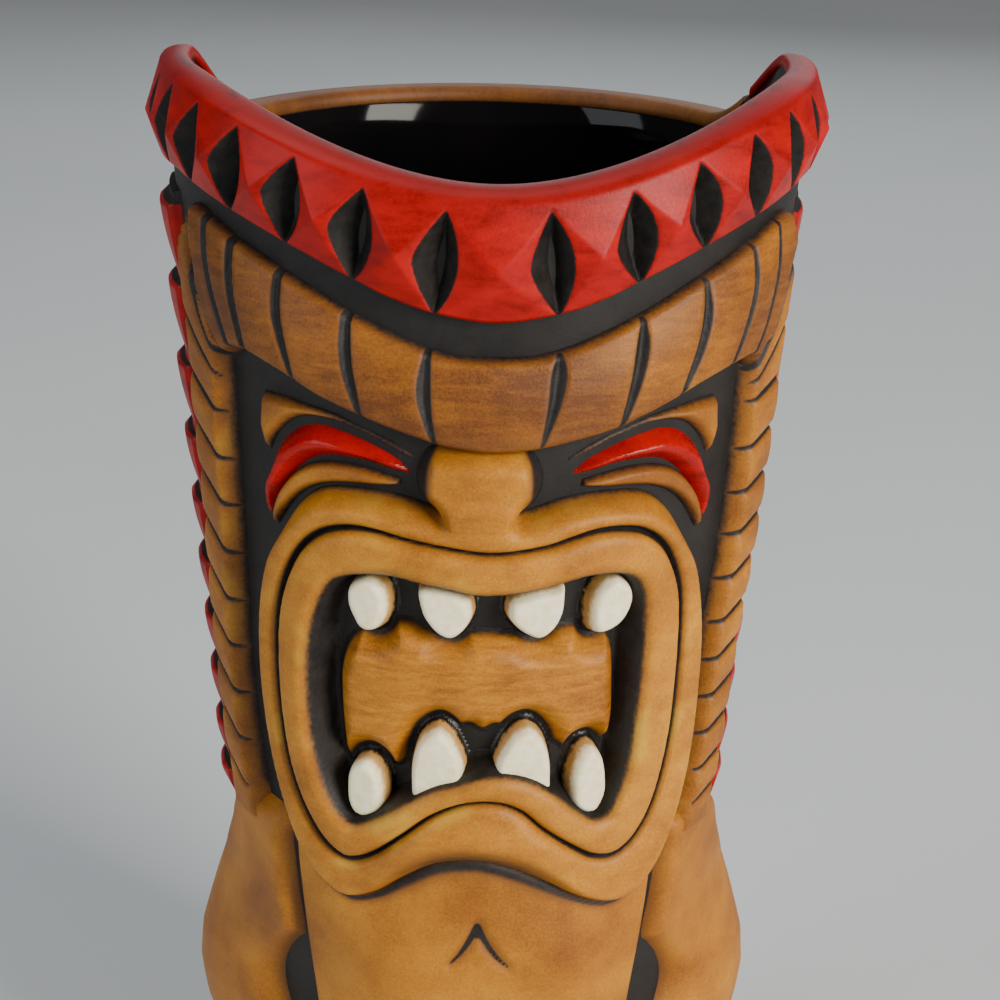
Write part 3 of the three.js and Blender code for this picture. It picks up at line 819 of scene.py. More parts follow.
def braid_shape(side):
    ends = RIGHT_NOTCHES if side > 0 else LEFT_NOTCHES
    rise = 1.5 if side > 0 else 3.6
    lines = [[(67.5, 160, 0.3), (60.8, 154.8, 0.36), (56, 151.7, 0.26), (53.8, 150.4, 0.06)]]
    lines.append([(a, z, 0.3) for a, z in SIDE_SEAM[side]])
    for z in ends:
        lines.append([
            (67.5, z + 1.6 * rise, 0.26), (64.5, z + 1.1 * rise, 0.34), (61.5, z + 0.7 * rise, 0.36),
            (58.5, z + 0.34 * rise, 0.36), (56, z, 0.28), (53.8, z - 0.5, 0.1),
        ])
    ring = np.vstack([smooth_curve(BRAID_INNER), smooth_curve(BRAID_OUTER)[::-1]])

    def shape(spots, degrees, z):
        a = degrees * side + braid_drift(side, z)
        here = flat(np.column_stack([a, z]))
        edge = inside_distance(here, flat(ring))
        joint = smooth_step(z, 153, 158) * (a < 64) + smooth_step(-z, -88, -82)
        height = BRAID_PROUD * ramp(edge, 1.9)
        cut = strokes(here, lines)
        # Each plait leans out a little towards its lower end.
        tops = np.array(ends)[::-1]
        down = 1 - np.interp(z - rise * (a - 55.6) / 9, tops, np.arange(len(tops))) % 1
        swell = 0.35 * np.sin(np.pi * down) * (z < 149) * ramp(np.maximum(edge, 0), 2.0)
        height = height + np.where(edge > 0, swell, 0) - 0.6 * smooth_step(cut, -0.5, 0.4)
        above_seam = z - np.interp(degrees * side, *np.array(SIDE_SEAM[side]).T)
        height = height - 2.0 * smooth_step(above_seam, 0.3, 1.6)
        shade = 0.22 * smooth_step(2.0 - edge, 0, 2.0)
        shade = shade + 0.22 * (1 - np.clip(down * 3, 0, 1)) * (z < 149)
        return edge, height, cut, shade, edge + 2 * np.clip(joint, 0, 1) * (a < 66)

    return shape


MANE_SIDES = (75.6, 92.6)
MANE_TOP = 172.8
MANE_BOTTOM = 78.5
WEDGE_TOPS = [170.3, 158.6, 146.8, 136, 126, 116.6, 107.4, 98.6, 90, 82.6]
# The right side's wedges stand out less than the left's.
WEDGE_PROUD = {1: 1.0, -1: 1.6}
MANE_BASE = {1: 0.2, -1: 0.9}
WEDGE_LEDGE = 1.1  # height of the dark slope on top of each wedge


def mane_shape(side):
    low, high = MANE_SIDES
    box = [(low, MANE_TOP), (high, MANE_TOP), (high, MANE_BOTTOM), (low, MANE_BOTTOM), (low, MANE_TOP)]
    ring = []
    for start, end in zip(box, box[1:]):
        ring += [np.array(start) + (np.array(end) - start) * t for t in np.arange(12) / 12]
    ring = np.array(ring)

    def shape(spots, degrees, z):
        a = degrees * side
        edge = inside_distance(flat(np.column_stack([a, z])), flat(ring))
        tops = np.array(WEDGE_TOPS + [MANE_BOTTOM - 1.0])
        # Each wedge's dark slope starts a little above its top.
        index = np.clip(np.searchsorted(-tops, -(z - WEDGE_LEDGE)) - 1, 0, len(tops) - 2)
        top, foot = tops[index] + WEDGE_LEDGE, tops[index + 1] + WEDGE_LEDGE
        down = np.clip(top - z, 0, None)
        length = top - foot
        rise = np.clip(down / WEDGE_LEDGE, 0, 1)
        fall = np.clip((length - down) / (length - WEDGE_LEDGE), 0, 1)
        ridge = 1 - np.abs(a - (low + high) / 2) / ((high - low) / 2)
        wedge = WEDGE_PROUD[side] * np.minimum(rise, 1 - (1 - fall) ** 1.7)
        wedge = wedge * (0.55 + 0.45 * np.clip(ridge * 1.6, 0, 1))
        height = soft_min(MANE_BASE[side] + wedge, 3.4 * ramp(edge, 1.3), 0.25)
        ledge = np.clip(0.7 * WEDGE_LEDGE - down, -1, 1)
        cut = np.where(z > tops[0] + WEDGE_LEDGE, 0.8, ledge)
        return edge, height, cut, 0.3 * (1 - fall)

    return shape


BACK_SIDE_TOP = 96.5
BACK_SIDE_BOTTOM = 101.0
BACK_BOTTOM = 2.9
BACK_PROUD = 2.2
BELOW_CROWN = 172.0
BACK_ROWS = 150
BACK_TIP_EDGE = [3.0] * 4 + [2.6, 2.2, 1.4]  # the rim's edge attribute, outside to inside


def make_back(material):
    """The plain back. Behind the crown's ends it goes up over the rim."""
    sections, edge, shade = [], [], []
    for u in np.linspace(0, 1, 301):
        a = BACK_SIDE_TOP + (360 - 2 * BACK_SIDE_TOP) * u
        signed = a - 360 if a > 180 else a
        rim = float(rim_height(signed))
        over = float(smooth_step(abs(signed), CROWN_END + 1.2, CROWN_END + 3.6))
        top_z = BELOW_CROWN + (rim - 1.0 - BELOW_CROWN) * over
        section = []
        for z in np.linspace(BACK_BOTTOM, top_z, BACK_ROWS):
            share = (z - BACK_BOTTOM) / (RIM_BACK - BACK_BOTTOM)
            start = BACK_SIDE_BOTTOM + (BACK_SIDE_TOP - BACK_SIDE_BOTTOM) * min(share, 1)
            arc = math.radians(min(u, 1 - u) * (360 - 2 * start)) * wall_radius(z)
            gap = min(arc, z - BACK_BOTTOM, 99.0 if over > 0.5 else top_z - z)
            proud = float(BACK_PROUD * ramp(gap + 0.05, 1.8)) - 0.4 * (gap < 0.01)
            section += at(start + (360 - 2 * start) * u, [(wall_radius(z) + proud, z)])
            edge.append(gap)
            shade.append(0.3 * over * float(smooth_step(z, top_z - 3, top_z)))
        outer = wall_radius(top_z) + BACK_PROUD * over - 1.2 * (1 - over)
        inner = wall_radius(rim) - WALL - INNER_LIP
        buried = wall_radius(top_z) - SUNK
        tip = [
            (outer - 0.25, 0.45), (outer - 0.9, 0.88), (outer - 2.0, 1.05), (inner + 1.6, 1.05),
            (inner + 0.7, 0.85), (inner + 0.15, 0.3), (inner, -0.4), (inner, -1.2),
        ]
        shares = [(buried + (r - buried) * over, rise * over if rise > 0 else rise) for r, rise in tip]
        tip = [(r, top_z + rise) for r, rise in shares]
        section += at(a, tip + [(buried, top_z - 2.5)])
        foot = BACK_SIDE_BOTTOM + (360 - 2 * BACK_SIDE_BOTTOM) * u
        section += at(foot, [(wall_radius(BACK_BOTTOM) - SUNK, BACK_BOTTOM + 0.8)])
        edge += [share * over for share in BACK_TIP_EDGE] + [0.0] * 3
        shade += [0.6] * (len(BACK_TIP_EDGE) + 3)
        sections.append(section)
    attributes = {"edge": edge, "shade": shade, "cut": no_cut(edge)}
    back = loft("back", sections, material, closed=False, attributes=attributes)
    place(back, "back_panel", "brown_glaze")


# ---------------------------------------------------------------- face

EYE_HIGH = [
    (14.8, 142.3), (17.2, 143.8), (20.4, 145), (24.2, 146), (28.2, 146.7), (32.2, 147), (35.8, 146.4),
    (39, 145), (42, 142.8), (44.2, 139.8), (46, 137.4), (46.8, 134.6), (46.9, 132.2),
]
EYE_LOW = [
    (14.8, 142), (18.8, 142.4), (23, 143), (28.5, 143.1), (32.2, 142.7), (35.4, 141.6), (38.6, 139.6),
    (41.8, 136.6), (44.5, 134.6), (46.3, 131.9),
]
UPPER_LID_HIGH = [
    (13.6, 144.3), (17.8, 146.1), (21.4, 147.2), (25, 148), (28.4, 148.9), (32, 149.4), (36, 149.7),
    (40, 150), (45.4, 150),
]
UPPER_LID_LOW = [
    (13.8, 143.9), (17.7, 145.3), (21.2, 146.5), (24.6, 147.3), (28.2, 148), (33, 148.1), (37.2, 147.4),
    (40.6, 145.7), (43.5, 143.3), (45.2, 141),
]
UPPER_LID_SIDE = [(46.4, 145.5)]
LOWER_LID_HIGH = [
    (16.6, 141.2), (20.2, 141.8), (24, 142.2), (28, 142.3), (32.2, 141.9), (36, 140.8), (39.4, 138.9),
    (42.4, 136.3), (44.2, 133.6), (44.9, 131.4),
]
LOWER_LID_LOW = [
    (16.6, 140.2), (20.6, 139.8), (25, 139.6), (29.8, 139.1), (34.4, 137.9), (38.2, 136), (41.6, 133.2),
    (44.4, 130.4),
]


def band_shape(low, high, side, proud, width, shading=None, end=()):
    """A band between two edges, rounded over."""
    ring = flat(np.vstack([smooth_curve(low), *([end] if end else []), smooth_curve(high)[::-1]]))

    def shape(spots, degrees, z):
        edge = inside_distance(spots * np.array([side, 1]), ring)
        shade = shading(np.abs(degrees), z) if shading else np.zeros(len(edge))
        return edge, proud * ramp(edge, width), no_cut(edge), shade

    return shape


EYE_PROUD = 2.4
UPPER_LID_PROUD = 1.7
LOWER_LID_PROUD = 1.6


def lid_shading(degrees, z):
    outer_corner = smooth_step(degrees, 36, 46) * smooth_step(z, 146, 150)
    return 0.55 * outer_corner + 0.4 * smooth_step(30 - degrees, 0, 9)


def add_eyes(eye_red, lid_brown):
    for side, name in ((1, "right"), (-1, "left")):
        def box(low, high, low_z, high_z):
            return (low, high, low_z, high_z) if side > 0 else (-high, -low, low_z, high_z)

        eye = band_shape(EYE_LOW, EYE_HIGH, side, EYE_PROUD, 2.4)
        relief(f"eye_{name}", f"eye_{name}", box(13, 48.5, 129, 149), eye, eye_red, 0.3, "red_glaze")
        edges = (UPPER_LID_LOW, UPPER_LID_HIGH)
        lid = band_shape(*edges, side, UPPER_LID_PROUD, 1.5, lid_shading, UPPER_LID_SIDE)
        upper, lower = f"upper_lid_{name}", f"lower_lid_{name}"
        relief(upper, upper, box(12, 49.5, 138, 153), lid, lid_brown, 0.33)
        lid = band_shape(LOWER_LID_LOW, LOWER_LID_HIGH, side, LOWER_LID_PROUD, 1.0)
        relief(lower, lower, box(15, 46, 130, 144), lid, lid_brown, 0.3)


NOSE_HALF = [
    (0, 146.6), (7.9, 146.2), (10, 144.8), (11.2, 142.6), (11.2, 140.6), (10.2, 138.9), (8.2, 137.6),
    (6.2, 136), (4.8, 134.2), (0, 133.4),
]
NOSE_TURN = -2.2
NOSE_PROUD = 4.4


def nose_shape(spots, degrees, z):
    edge = outline_distance(spots, turned(whole_ring(NOSE_HALF), NOSE_TURN))
    a = np.abs(degrees - NOSE_TURN)
    height = NOSE_PROUD * ramp(edge + 0.2, 3.2)
    # The bulb runs on into the upper lip below it, and dips under its surface.
    low = smooth_step(-z, -140, -138) * smooth_step(7.6 - a, 0, 3.4)
    into_lip = OUTER_LIP_PROUD + 0.03 + 0.5 * smooth_step(z, 135.2, 139.5)
    into_lip = into_lip - 0.7 * smooth_step(-z, -136, -133.6)
    height = height + (into_lip - height) * low * (edge > -0.3)
    shade = smooth_step(a, 6.6, 9.4) + 0.6 * smooth_step(z, 144, 147)
    return edge, height, no_cut(edge), np.minimum(shade, 1), edge + 0.5 + 2.2 * low


LIP_OUTSIDE = [
    (-1.2, 136.5), (-8.9, 137.3), (-15.5, 138.7), (-23.1, 139.1), (-31.4, 138.4), (-37, 135.8), (-41.9, 130.9),
    (-45.6, 124.6), (-47.9, 117.3), (-48.8, 109.6), (-48.6, 102.1), (-47.3, 94.7), (-45.1, 88.2), (-42, 82.4),
    (-38.2, 78.6), (-34.3, 76.3), (-28.9, 74.9), (-22.5, 76.4), (-16.5, 79.3), (-9.5, 81.9), (-1.4, 82.6),
    (5.9, 81.2), (12.8, 79), (20, 76.1), (26, 74.4), (31, 74.2), (36.2, 75.8), (40.6, 79.6), (44, 85.3),
    (46.2, 92.6), (46.9, 100.2), (46.4, 110.6), (45, 118.4), (42.1, 126.3), (38.2, 132.4), (34, 136.2),
    (28.6, 138.6), (20.6, 139.3), (13, 138.8), (6.4, 137.3),
]
LIP_GROOVE = [
    (0.1, 132), (-8.1, 132.7), (-14.8, 133.5), (-20.5, 134.3), (-25.6, 134.2), (-30.4, 132.9), (-34.3, 130.4),
    (-37.3, 127), (-40, 122.2), (-41.7, 116.5), (-42.4, 109), (-42.1, 101.5), (-40.8, 95.1), (-38.1, 89.6),
    (-34, 85), (-29.6, 82.7), (-26.1, 82.7), (-21.8, 84.4), (-16.3, 87.7), (-10.4, 91.4), (-4.2, 93.6),
    (2, 93.9), (7, 92.4), (11.7, 89.2), (17.3, 86.1), (22.4, 83.8), (27.2, 83.4), (31.5, 85.4), (35, 89.4),
    (37.2, 95.1), (38.4, 102.6), (38.4, 110.2), (37.9, 117.7), (36.8, 123.6), (34.4, 128.3), (31.4, 131.6),
    (27.6, 133.7), (23.4, 134.6), (18.5, 134.7), (14, 133.9), (8.9, 132.8),
]
MOUTH = [
    (0.9, 126.1), (-2.5, 126.1), (-7.5, 126.9), (-12.6, 127.5), (-17.2, 128.1), (-21.9, 127.9), (-26.3, 127),
    (-29, 125.6), (-31.2, 122.6), (-33.2, 118.4), (-34.7, 112), (-35, 106), (-34.4, 100.3), (-32.7, 94.6),
    (-30.4, 90.9), (-28, 89), (-25.4, 88.8), (-21.1, 90.5), (-17, 92.6), (-13.1, 94.5), (-9.3, 96.1),
    (-5.5, 97), (-1.8, 98), (1.9, 98.4), (6.2, 98), (10.1, 96.8), (14.1, 94.6), (18.4, 91.8), (22, 90.1),
    (24.8, 90.6), (26.6, 93.3), (28.2, 97.6), (28.9, 104.6), (29.3, 112), (29.1, 119.5), (28.3, 124.4),
    (26.4, 127), (22.6, 128.2), (17.4, 128.3), (12.2, 127.5), (6.4, 126.6),
]
MOUTH_TURN = -2.0
GROOVE_NARROW = 0.14  # half width at the middle of the mouth
GROOVE_WIDE = 0.42  # half width at its corners
GROOVE_DEPTH = 0.9
GROOVE_LEVEL = 3.5  # of the lips beside the groove, above the wall
OUTER_LIP_PROUD = 4.4
INNER_LIP_PROUD = 4.9
LIP_OVERLAP = 0.45  # how far each lip runs on below the other at the bottom of the groove
MOUTH_WALL = 1.5  # how far the mouth's side walls lean in
MOUTH_BRIM = 3.7  # height of the inner lip where those walls start


def beside_groove(distance, half, proud):
    """Height of a lip at a distance from the groove's middle."""
    rounding = GROOVE_LEVEL + (proud - GROOVE_LEVEL) * ramp(np.maximum(distance, 0), 2.4)
    dip = GROOVE_DEPTH * np.clip(1 - np.abs(distance) / (half + 0.45), 0, 1)
    return rounding - dip + 2.5 * np.minimum(distance, 0)


def groove_half(degrees):
    return GROOVE_NARROW + (GROOVE_WIDE - GROOVE_NARROW) * smooth_step(np.abs(degrees - MOUTH_TURN), 10, 34)


def outer_lip_shape(spots, degrees, z):
    outside = outline_distance(spots, LIP_OUTSIDE)
    out = -outline_distance(spots, LIP_GROOVE)
    half = groove_half(degrees)
    a = np.abs(degrees - MOUTH_TURN)
    chin = smooth_step(-z, -94, -86) * smooth_step(25 - a, 0, 17)
    upper = smooth_step(z, 126, 134)
    proud = OUTER_LIP_PROUD + 0.8 * chin
    under_nose = smooth_step(7.4 - np.abs(degrees - NOSE_TURN), 0, 3.4) * (z > 130)
    slope = proud * ramp(outside, 2.1 + 1.4 * upper + 3.4 * chin)
    slope = slope + (proud - slope) * under_nose * (outside > -0.5)
    height = soft_min(slope, beside_groove(out, half, proud), 0.5)
    shade = 0.8 * chin * smooth_step(6.4 - outside, 0, 4.6)
    beside_nose = smooth_step(34 - a, 0, 14) * (1 - under_nose)
    shade = shade + 0.62 * upper * smooth_step(3.2 - outside, 0, 3.0) * beside_nose
    painted = np.minimum(outside + 3 * under_nose, np.abs(out) + 0.7)
    return np.minimum(outside, out + LIP_OVERLAP), height, half - np.abs(out), shade, painted


def inner_lip_shape(spots, degrees, z):
    into = outline_distance(spots, LIP_GROOVE)
    mouth = -outline_distance(spots, MOUTH)
    half = groove_half(degrees)
    rounded = MOUTH_BRIM + (INNER_LIP_PROUD - MOUTH_BRIM) * ramp(np.maximum(mouth, 0), 1.9)
    steepness = (MOUTH_BRIM + MOUTH_DEPTH) / (MOUTH_WALL - 0.2)
    wall = MOUTH_BRIM + steepness * np.minimum(mouth, 0)
    beside = beside_groove(into, half, INNER_LIP_PROUD)
    height = soft_min(np.where(mouth > 0, rounded, wall), beside, 0.5)
    edge = np.minimum(mouth + MOUTH_WALL, into + LIP_OVERLAP)
    painted = np.minimum(mouth + 0.1, np.abs(into) + 0.7)
    return edge, height, half - np.abs(into), np.zeros(len(into)), painted


TEETH = {
    "upper_tooth_outer_left": [
        (-27, 125.1), (-24.8, 126.7), (-22, 127.3), (-19.4, 126.1), (-18.4, 124), (-18.6, 121.5),
        (-20.2, 119.2), (-22.3, 118.2), (-24.7, 118.6), (-26.3, 120.4), (-27.3, 122.6),
    ],
    "upper_tooth_inner_left": [
        (-13.4, 126.1), (-8.6, 126.5), (-3.6, 125.3), (-2.4, 122.9), (-3.1, 120.9), (-4.9, 119.1),
        (-7, 118.3), (-9.6, 118.9), (-11.8, 120.6), (-13.2, 122.8),
    ],
    "upper_tooth_inner_right": [
        (2.9, 122.7), (3.6, 124.9), (7.8, 126.1), (11.3, 126.5), (14.2, 126.9), (14.6, 124.3),
        (14.3, 122.2), (13, 120.1), (11, 118.7), (9.2, 118.3), (7.2, 118.8), (5.1, 119.9), (3.5, 121.3),
    ],
    "upper_tooth_outer_right": [
        (24.4, 127.3), (27.3, 125.7), (28.2, 123.4), (27.4, 121.1), (25.5, 119.3), (22.6, 118.3),
        (20.2, 118.4), (18.9, 119.8), (18.5, 122.3), (19.2, 124.7), (21.4, 126.7),
    ],
    "lower_tooth_outer_left": [
        (-27.2, 98), (-24.2, 98.8), (-21.7, 97.7), (-20.3, 95.6), (-20.1, 92.9), (-21.3, 90.2),
        (-24.5, 88.7), (-27.4, 89.1), (-29, 91.1), (-29.2, 93.8), (-28.7, 96.2),
    ],
    "lower_tooth_inner_left": [
        (-9.5, 105.2), (-6.7, 104), (-4.9, 101.8), (-3.7, 99.4), (-3.8, 97.1), (-5.3, 95.5), (-10.5, 93.7),
        (-14.8, 92.5), (-15.5, 96.9), (-14.9, 100.4), (-13.1, 103.5),
    ],
    "lower_tooth_inner_right": [
        (8.4, 105.4), (11.3, 103.8), (13.1, 101), (13.8, 97.6), (13.4, 93.5), (8.5, 94.3), (4.1, 95.5),
        (1.6, 96.7), (1.4, 99.4), (3, 102.3), (5.2, 104.5),
    ],
    "lower_tooth_outer_right": [
        (22.5, 101.2), (24.6, 99.3), (25.7, 96.1), (25.8, 93), (23.8, 90.2), (20.5, 90), (17.6, 91.7),
        (16.9, 94.1), (17.1, 97.2), (18.4, 100.1), (20.4, 101.3),
    ],
}
TONGUE = [
    (-31.6, 109), (-30.6, 113), (-28, 116.4), (-23.5, 118.4), (-16.4, 119.9), (-9.6, 118.4), (0.1, 118.9),
    (9.2, 118.2), (16, 119.4), (22.5, 118.6), (26.3, 115.6), (27.6, 109), (27.9, 103.4), (26, 100.6),
    (18.6, 99.6), (13, 102), (3, 104.3), (-0.7, 103.6), (-4.6, 104.4), (-14, 101), (-18.2, 97.2), (-23, 98),
    (-29.8, 96.6), (-31.4, 101),
]
TONGUE_GAP = 0.95  # of dark glaze left round each tooth
TOOTH_PROUD = 3.0


def tongue_shape(spots, degrees, z):
    edge = outline_distance(spots, TONGUE)
    for outline in TEETH.values():
        edge = np.minimum(edge, -outline_distance(spots, outline) - TONGUE_GAP)
    height = -MOUTH_DEPTH + (2.2 + MOUTH_DEPTH) * ramp(edge, 3.6)
    shade = 0.8 * smooth_step(np.abs(degrees - MOUTH_TURN), 26, 30.5)
    shade = shade + 0.35 * smooth_step(1.6 - edge, 0, 1.6)
    return edge, height, no_cut(edge), shade


def tooth_shape(outline):
    def shape(spots, degrees, z):
        edge = outline_distance(spots, outline)
        height = TOOTH_PROUD - (TOOTH_PROUD + MOUTH_DEPTH) * (1 - ramp(edge, 1.7)) ** 1.7
        return edge, height, no_cut(edge), np.zeros(len(edge))

    return shape


def add_teeth(cream):
    for name, outline in TEETH.items():
        angles, heights = zip(*outline)
        box = (min(angles) - 1.5, max(angles) + 1.5, min(heights) - 1.2, max(heights) + 1.2)
        relief(name, name, box, tooth_shape(outline), cream, 0.3, "cream_glaze")


# ---------------------------------------------------------------- body

BODY_TURN = -1.5
CHEST = [
    (-44.6, 84.5), (-38, 80), (-29, 77.4), (-20, 80.4), (-10, 84), (-1.4, 85), (8, 83.4), (16, 80), (26, 76.8),
    (34, 77.4), (41.8, 83), (42.6, 79), (42.2, 71), (40.9, 61), (39.8, 53), (39, 46), (18, 45.4), (0, 45.4),
    (-18, 45.4), (-42, 46), (-42.8, 53), (-43.9, 61), (-45.2, 71), (-45.8, 79),
]
CHEVRON = [
    [(-0.9, 72.3, 0.42), (-2.6, 69.8, 0.34), (-4.6, 67.6, 0.2), (-6.6, 66, 0.05)],
    [(-0.9, 72.3, 0.42), (1, 69.6, 0.34), (3.4, 67.2, 0.26), (5.8, 65.6, 0.12)],
    [(-0.9, 72, 0.3), (-0.9, 71.2, 0.42), (-0.8, 70.4, 0.1)],
]


def chest_shape(spots, degrees, z):
    edge = outline_distance(spots, CHEST)
    a = np.abs(degrees - BODY_TURN)
    pectoral = 1.5 * np.exp(-(((a - 20) / 15) ** 2) - ((z - 66) / 9) ** 2)
    height = (1.5 + pectoral) * ramp(edge, 2.2)
    cut = strokes(spots, CHEVRON)
    height = height - 0.6 * smooth_step(cut, -1.4, 0.2)
    from_lip = -outline_distance(spots, LIP_OUTSIDE)
    height = height * (1 - 0.9 * smooth_step(-from_lip, 0.25, 1.6))
    shadow_width = 0.9 + 1.1 * smooth_step(24 - a, 0, 12)
    shade = np.exp(-((from_lip / shadow_width) ** 2))
    shade = shade + 0.35 * np.exp(-((cut / 1.2) ** 2)) + 0.6 * smooth_step(1.3 - edge, 0, 1.6)
    return edge, height, cut, np.minimum(shade, 1), edge + 0.5


BELLY = [
    (0, 45), (11, 44.8), (14.6, 42), (14.8, 36), (16, 31), (24, 28.8), (34, 28.6), (34, 25.4), (20, 22.6),
    (0, 22),
]
NAVEL = [(0, 33.4, 0.7), (0, 31.4, 0.9)]
BELLY_PROUD = 4.4


def belly_shape(spots, degrees, z):
    edge = outline_distance(spots, whole_ring(BELLY))
    cut = strokes(spots, [NAVEL])
    height = BELLY_PROUD * ramp(edge, 6) - 1.0 * smooth_step(cut, -1.6, 0.6)
    return edge, height, cut, 0.3 * smooth_step(3 - edge, 0, 3)


HAND_HIGH = [(17, 43.8), (30, 44.4), (44.6, 43.6)]
HAND_LOW = [(17, 31.6), (30, 30.6), (44.6, 31.4)]
FINGER_SPLITS = [34.3, 37.5, 40.6]


def hand_shape(side):
    ring = flat(np.vstack([smooth_curve(HAND_LOW), smooth_curve(HAND_HIGH)[::-1]]))
    lines = [[(15.5, z, 0.3), (24, z + 0.2, 0.28), (34, z + 0.3, 0.1)] for z in FINGER_SPLITS]

    def shape(spots, degrees, z):
        here = spots * np.array([side, 1])
        edge = inside_distance(here, ring)
        cut = strokes(here, lines)
        a = np.abs(degrees)
        height = (4.6 + 1.6 * smooth_step(a, 20, 36)) * ramp(edge, 3.0)
        height = height - 1.1 * smooth_step(cut, -1.3, 0.2)
        return edge, height, cut, np.zeros(len(edge)), edge + 3 * smooth_step(a, 38, 42)

    return shape


ARM = [
    (46.4, 84.5), (46.1, 79.7), (45.4, 71), (44.2, 64.6), (46.6, 62.6), (51, 59.4), (54.4, 55.2), (54.2, 51.2),
    (51, 47.4), (44.6, 44.8), (44, 38), (43.8, 31.2), (60, 30), (80, 32), (95, 40), (98, 52), (92, 62),
    (84, 70), (74, 77.5), (65, 84.5),
]
# The arm's height above the wall by height above the table, widest at the elbow.
ARM_BULGE = [(30, 3.2), (36, 6.6), (42, 8.6), (48, 8.9), (54, 8.0), (62, 5.4), (69, 3.2), (76, 2.4), (84, 2.2)]


def arm_shape(side):
    ring = flat(smooth_curve(turned(ARM, BODY_TURN * side), closed=True))
    full = np.array(ARM_BULGE).T

    def shape(spots, degrees, z):
        edge = inside_distance(spots * np.array([side, 1]), ring)
        a = degrees * side - BODY_TURN * side
        bulge = np.interp(z, *full)
        inward = smooth_step(a, 44, 84)
        proud = 2.4 + (bulge - 2.4) * inward * np.sqrt(1 - np.clip((a - 86) / 40, -1, 1) ** 2)
        proud = proud + 2.6 * smooth_step(52 - a, 0, 10) * smooth_step(48 - z, 0, 5)
        height = proud * ramp(edge, 2.6 + 1.1 * inward * np.clip(bulge - 2, 0, 6))
        front = (a < 62) * smooth_step(z, 44, 50)
        shade = 0.7 * smooth_step(2.2 - edge, 0, 2.6) * front * smooth_step(84 - z, 0, 4)
        joint = smooth_step(z, 80, 83) * (a > 50)
        return edge, height, no_cut(edge), shade, edge + 0.4 + 3 * joint

    return shape


LEG = [(29, 22), (38, 24.4), (54, 26.6), (70, 24), (73, 15), (62, 8.8), (44, 8.2), (36, 11.6), (27, 16.6)]
FOOT = [
    (14, 0.6), (13.6, 3.4), (15, 6.2), (19, 7.4), (38, 7.4), (58, 7.4), (62, 6), (62.5, 3), (61.5, 0.6),
    (38, 0.6),
]
TOE_SPLITS = [22.5, 31, 39.5]
LEG_PROUD = 6.2
FOOT_PROUD = 6.8


def leg_shape(side):
    ring = flat(smooth_curve(LEG, closed=True))

    def shape(spots, degrees, z):
        edge = inside_distance(spots * np.array([side, 1]), ring)
        shade = 0.3 * smooth_step(2.5 - edge, 0, 2.5)
        return edge, LEG_PROUD * ramp(edge, 7.5), no_cut(edge), shade

    return shape


def foot_shape(side):
    lines = [[(a, 7.8, 0.25), (a, 5, 0.35), (a, 0.3, 0.35)] for a in TOE_SPLITS]

    def shape(spots, degrees, z):
        here = spots * np.array([side, 1])
        edge = inside_distance(here, flat(FOOT))
        cut = strokes(here, lines)
        proud = FOOT_PROUD - 1.6 * smooth_step(np.abs(degrees), 42, 60)
        height = proud * ramp(edge, 2.6) - 1.3 * smooth_step(cut, -1.4, 0.2)
        return edge, height, cut, np.zeros(len(edge))

    return shape


def both_sides(name, box, shape, material, spacing, slot="brown_glaze"):
    low_a, high_a, low_z, high_z = box
    right, left = f"{name}_right", f"{name}_left"
    relief(right, right, box, shape(1), material, spacing, slot)
    relief(left, left, (-high_a, -low_a, low_z, high_z), shape(-1), material, spacing, slot)


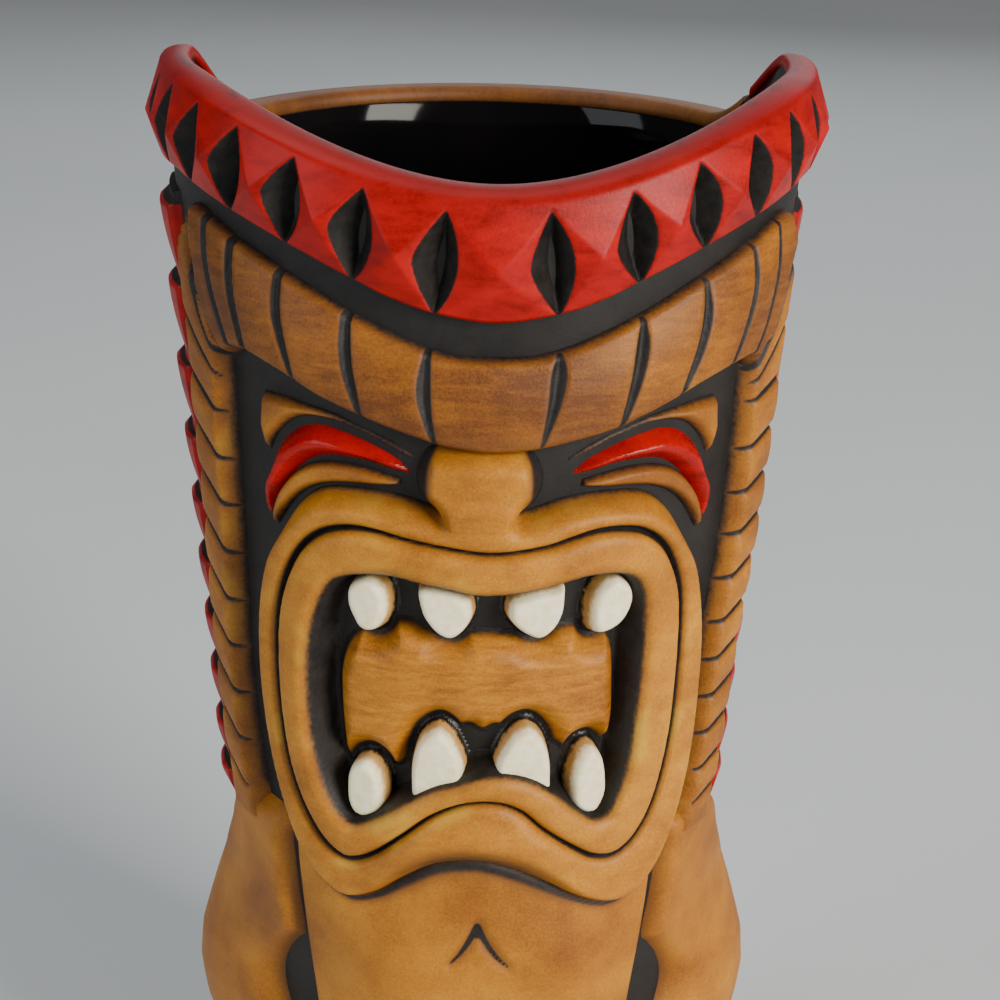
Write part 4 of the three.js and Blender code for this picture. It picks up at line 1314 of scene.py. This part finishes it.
def main():
    brow_brown = brown_glaze("brow_brown", (1, 1, 5), 150, 0.4, 0.33)
    braid_brown = brown_glaze("braid_brown", (1, 1, 2), 200, 0.3, 0.46, ochre=0.2)
    lip_brown = brown_glaze("lip_brown", (1, 1, 2), 160, 0.28, 0.56, ochre=0.5)
    tongue_brown = brown_glaze("tongue_brown", (1, 1, 5), 190, 0.5, 0.54)
    body_brown = brown_glaze("body_brown", (1, 1, 1), 120, 0.22, 0.52)
    face_brown = brown_glaze("face_brown", (1, 1, 1), 180, 0.3, 0.48)
    back_brown = brown_glaze("back_brown", (4, 4, 0.8), 110, 0.4, 0.36)
    crown_red = red_glaze("crown_red", 0.42)
    eye_red = red_glaze("eye_red", 0.24)
    mane_red = red_glaze("mane_red", 0.40)
    cream = cream_glaze("tooth_cream")

    make_cup(charcoal_glaze("charcoal"), black_gloss("inside_black"))
    make_base(bare_clay("bare_clay"))
    make_crown(crown_red)
    relief("brow", "brow_band", (-69, 69, 144, 174.8), brow_shape, brow_brown)
    both_sides("braid", (45, 72, 79, 173), braid_shape, braid_brown, FINE)
    both_sides("mane", (74.8, 93.8, 77.5, 174), mane_shape, mane_red, 0.4, "red_glaze")
    make_back(back_brown)
    add_eyes(eye_red, face_brown)
    relief("nose", "nose", (-15, 10, 132.6, 147.6), nose_shape, lip_brown, 0.33)
    relief("outer_lip", "outer_lip", (-51, 49, 73, 141), outer_lip_shape, lip_brown, 0.36)
    relief("inner_lip", "inner_lip", (-44.5, 40.5, 81.5, 136), inner_lip_shape, lip_brown, 0.36)
    relief("tongue", "tongue", (-33.5, 29.5, 95, 121.5), tongue_shape, tongue_brown, 0.3)
    add_teeth(cream)
    relief("chest", "chest", (-48, 45, 44, 87), chest_shape, body_brown, 0.5)
    relief("belly", "belly", (-36, 36, 20.5, 46.5), belly_shape, body_brown, COARSE)
    both_sides("hand", (15.5, 46.2, 29, 46), hand_shape, body_brown, 0.5)
    both_sides("arm", (40, 101, 28.5, 86), arm_shape, body_brown, 0.6)
    both_sides("leg", (25, 75, 6.5, 28), leg_shape, body_brown, COARSE)
    both_sides("foot", (12.5, 64, 0.3, 8.5), foot_shape, body_brown, 0.5)
    make_camera()
    make_lights()
    make_floor()


main()
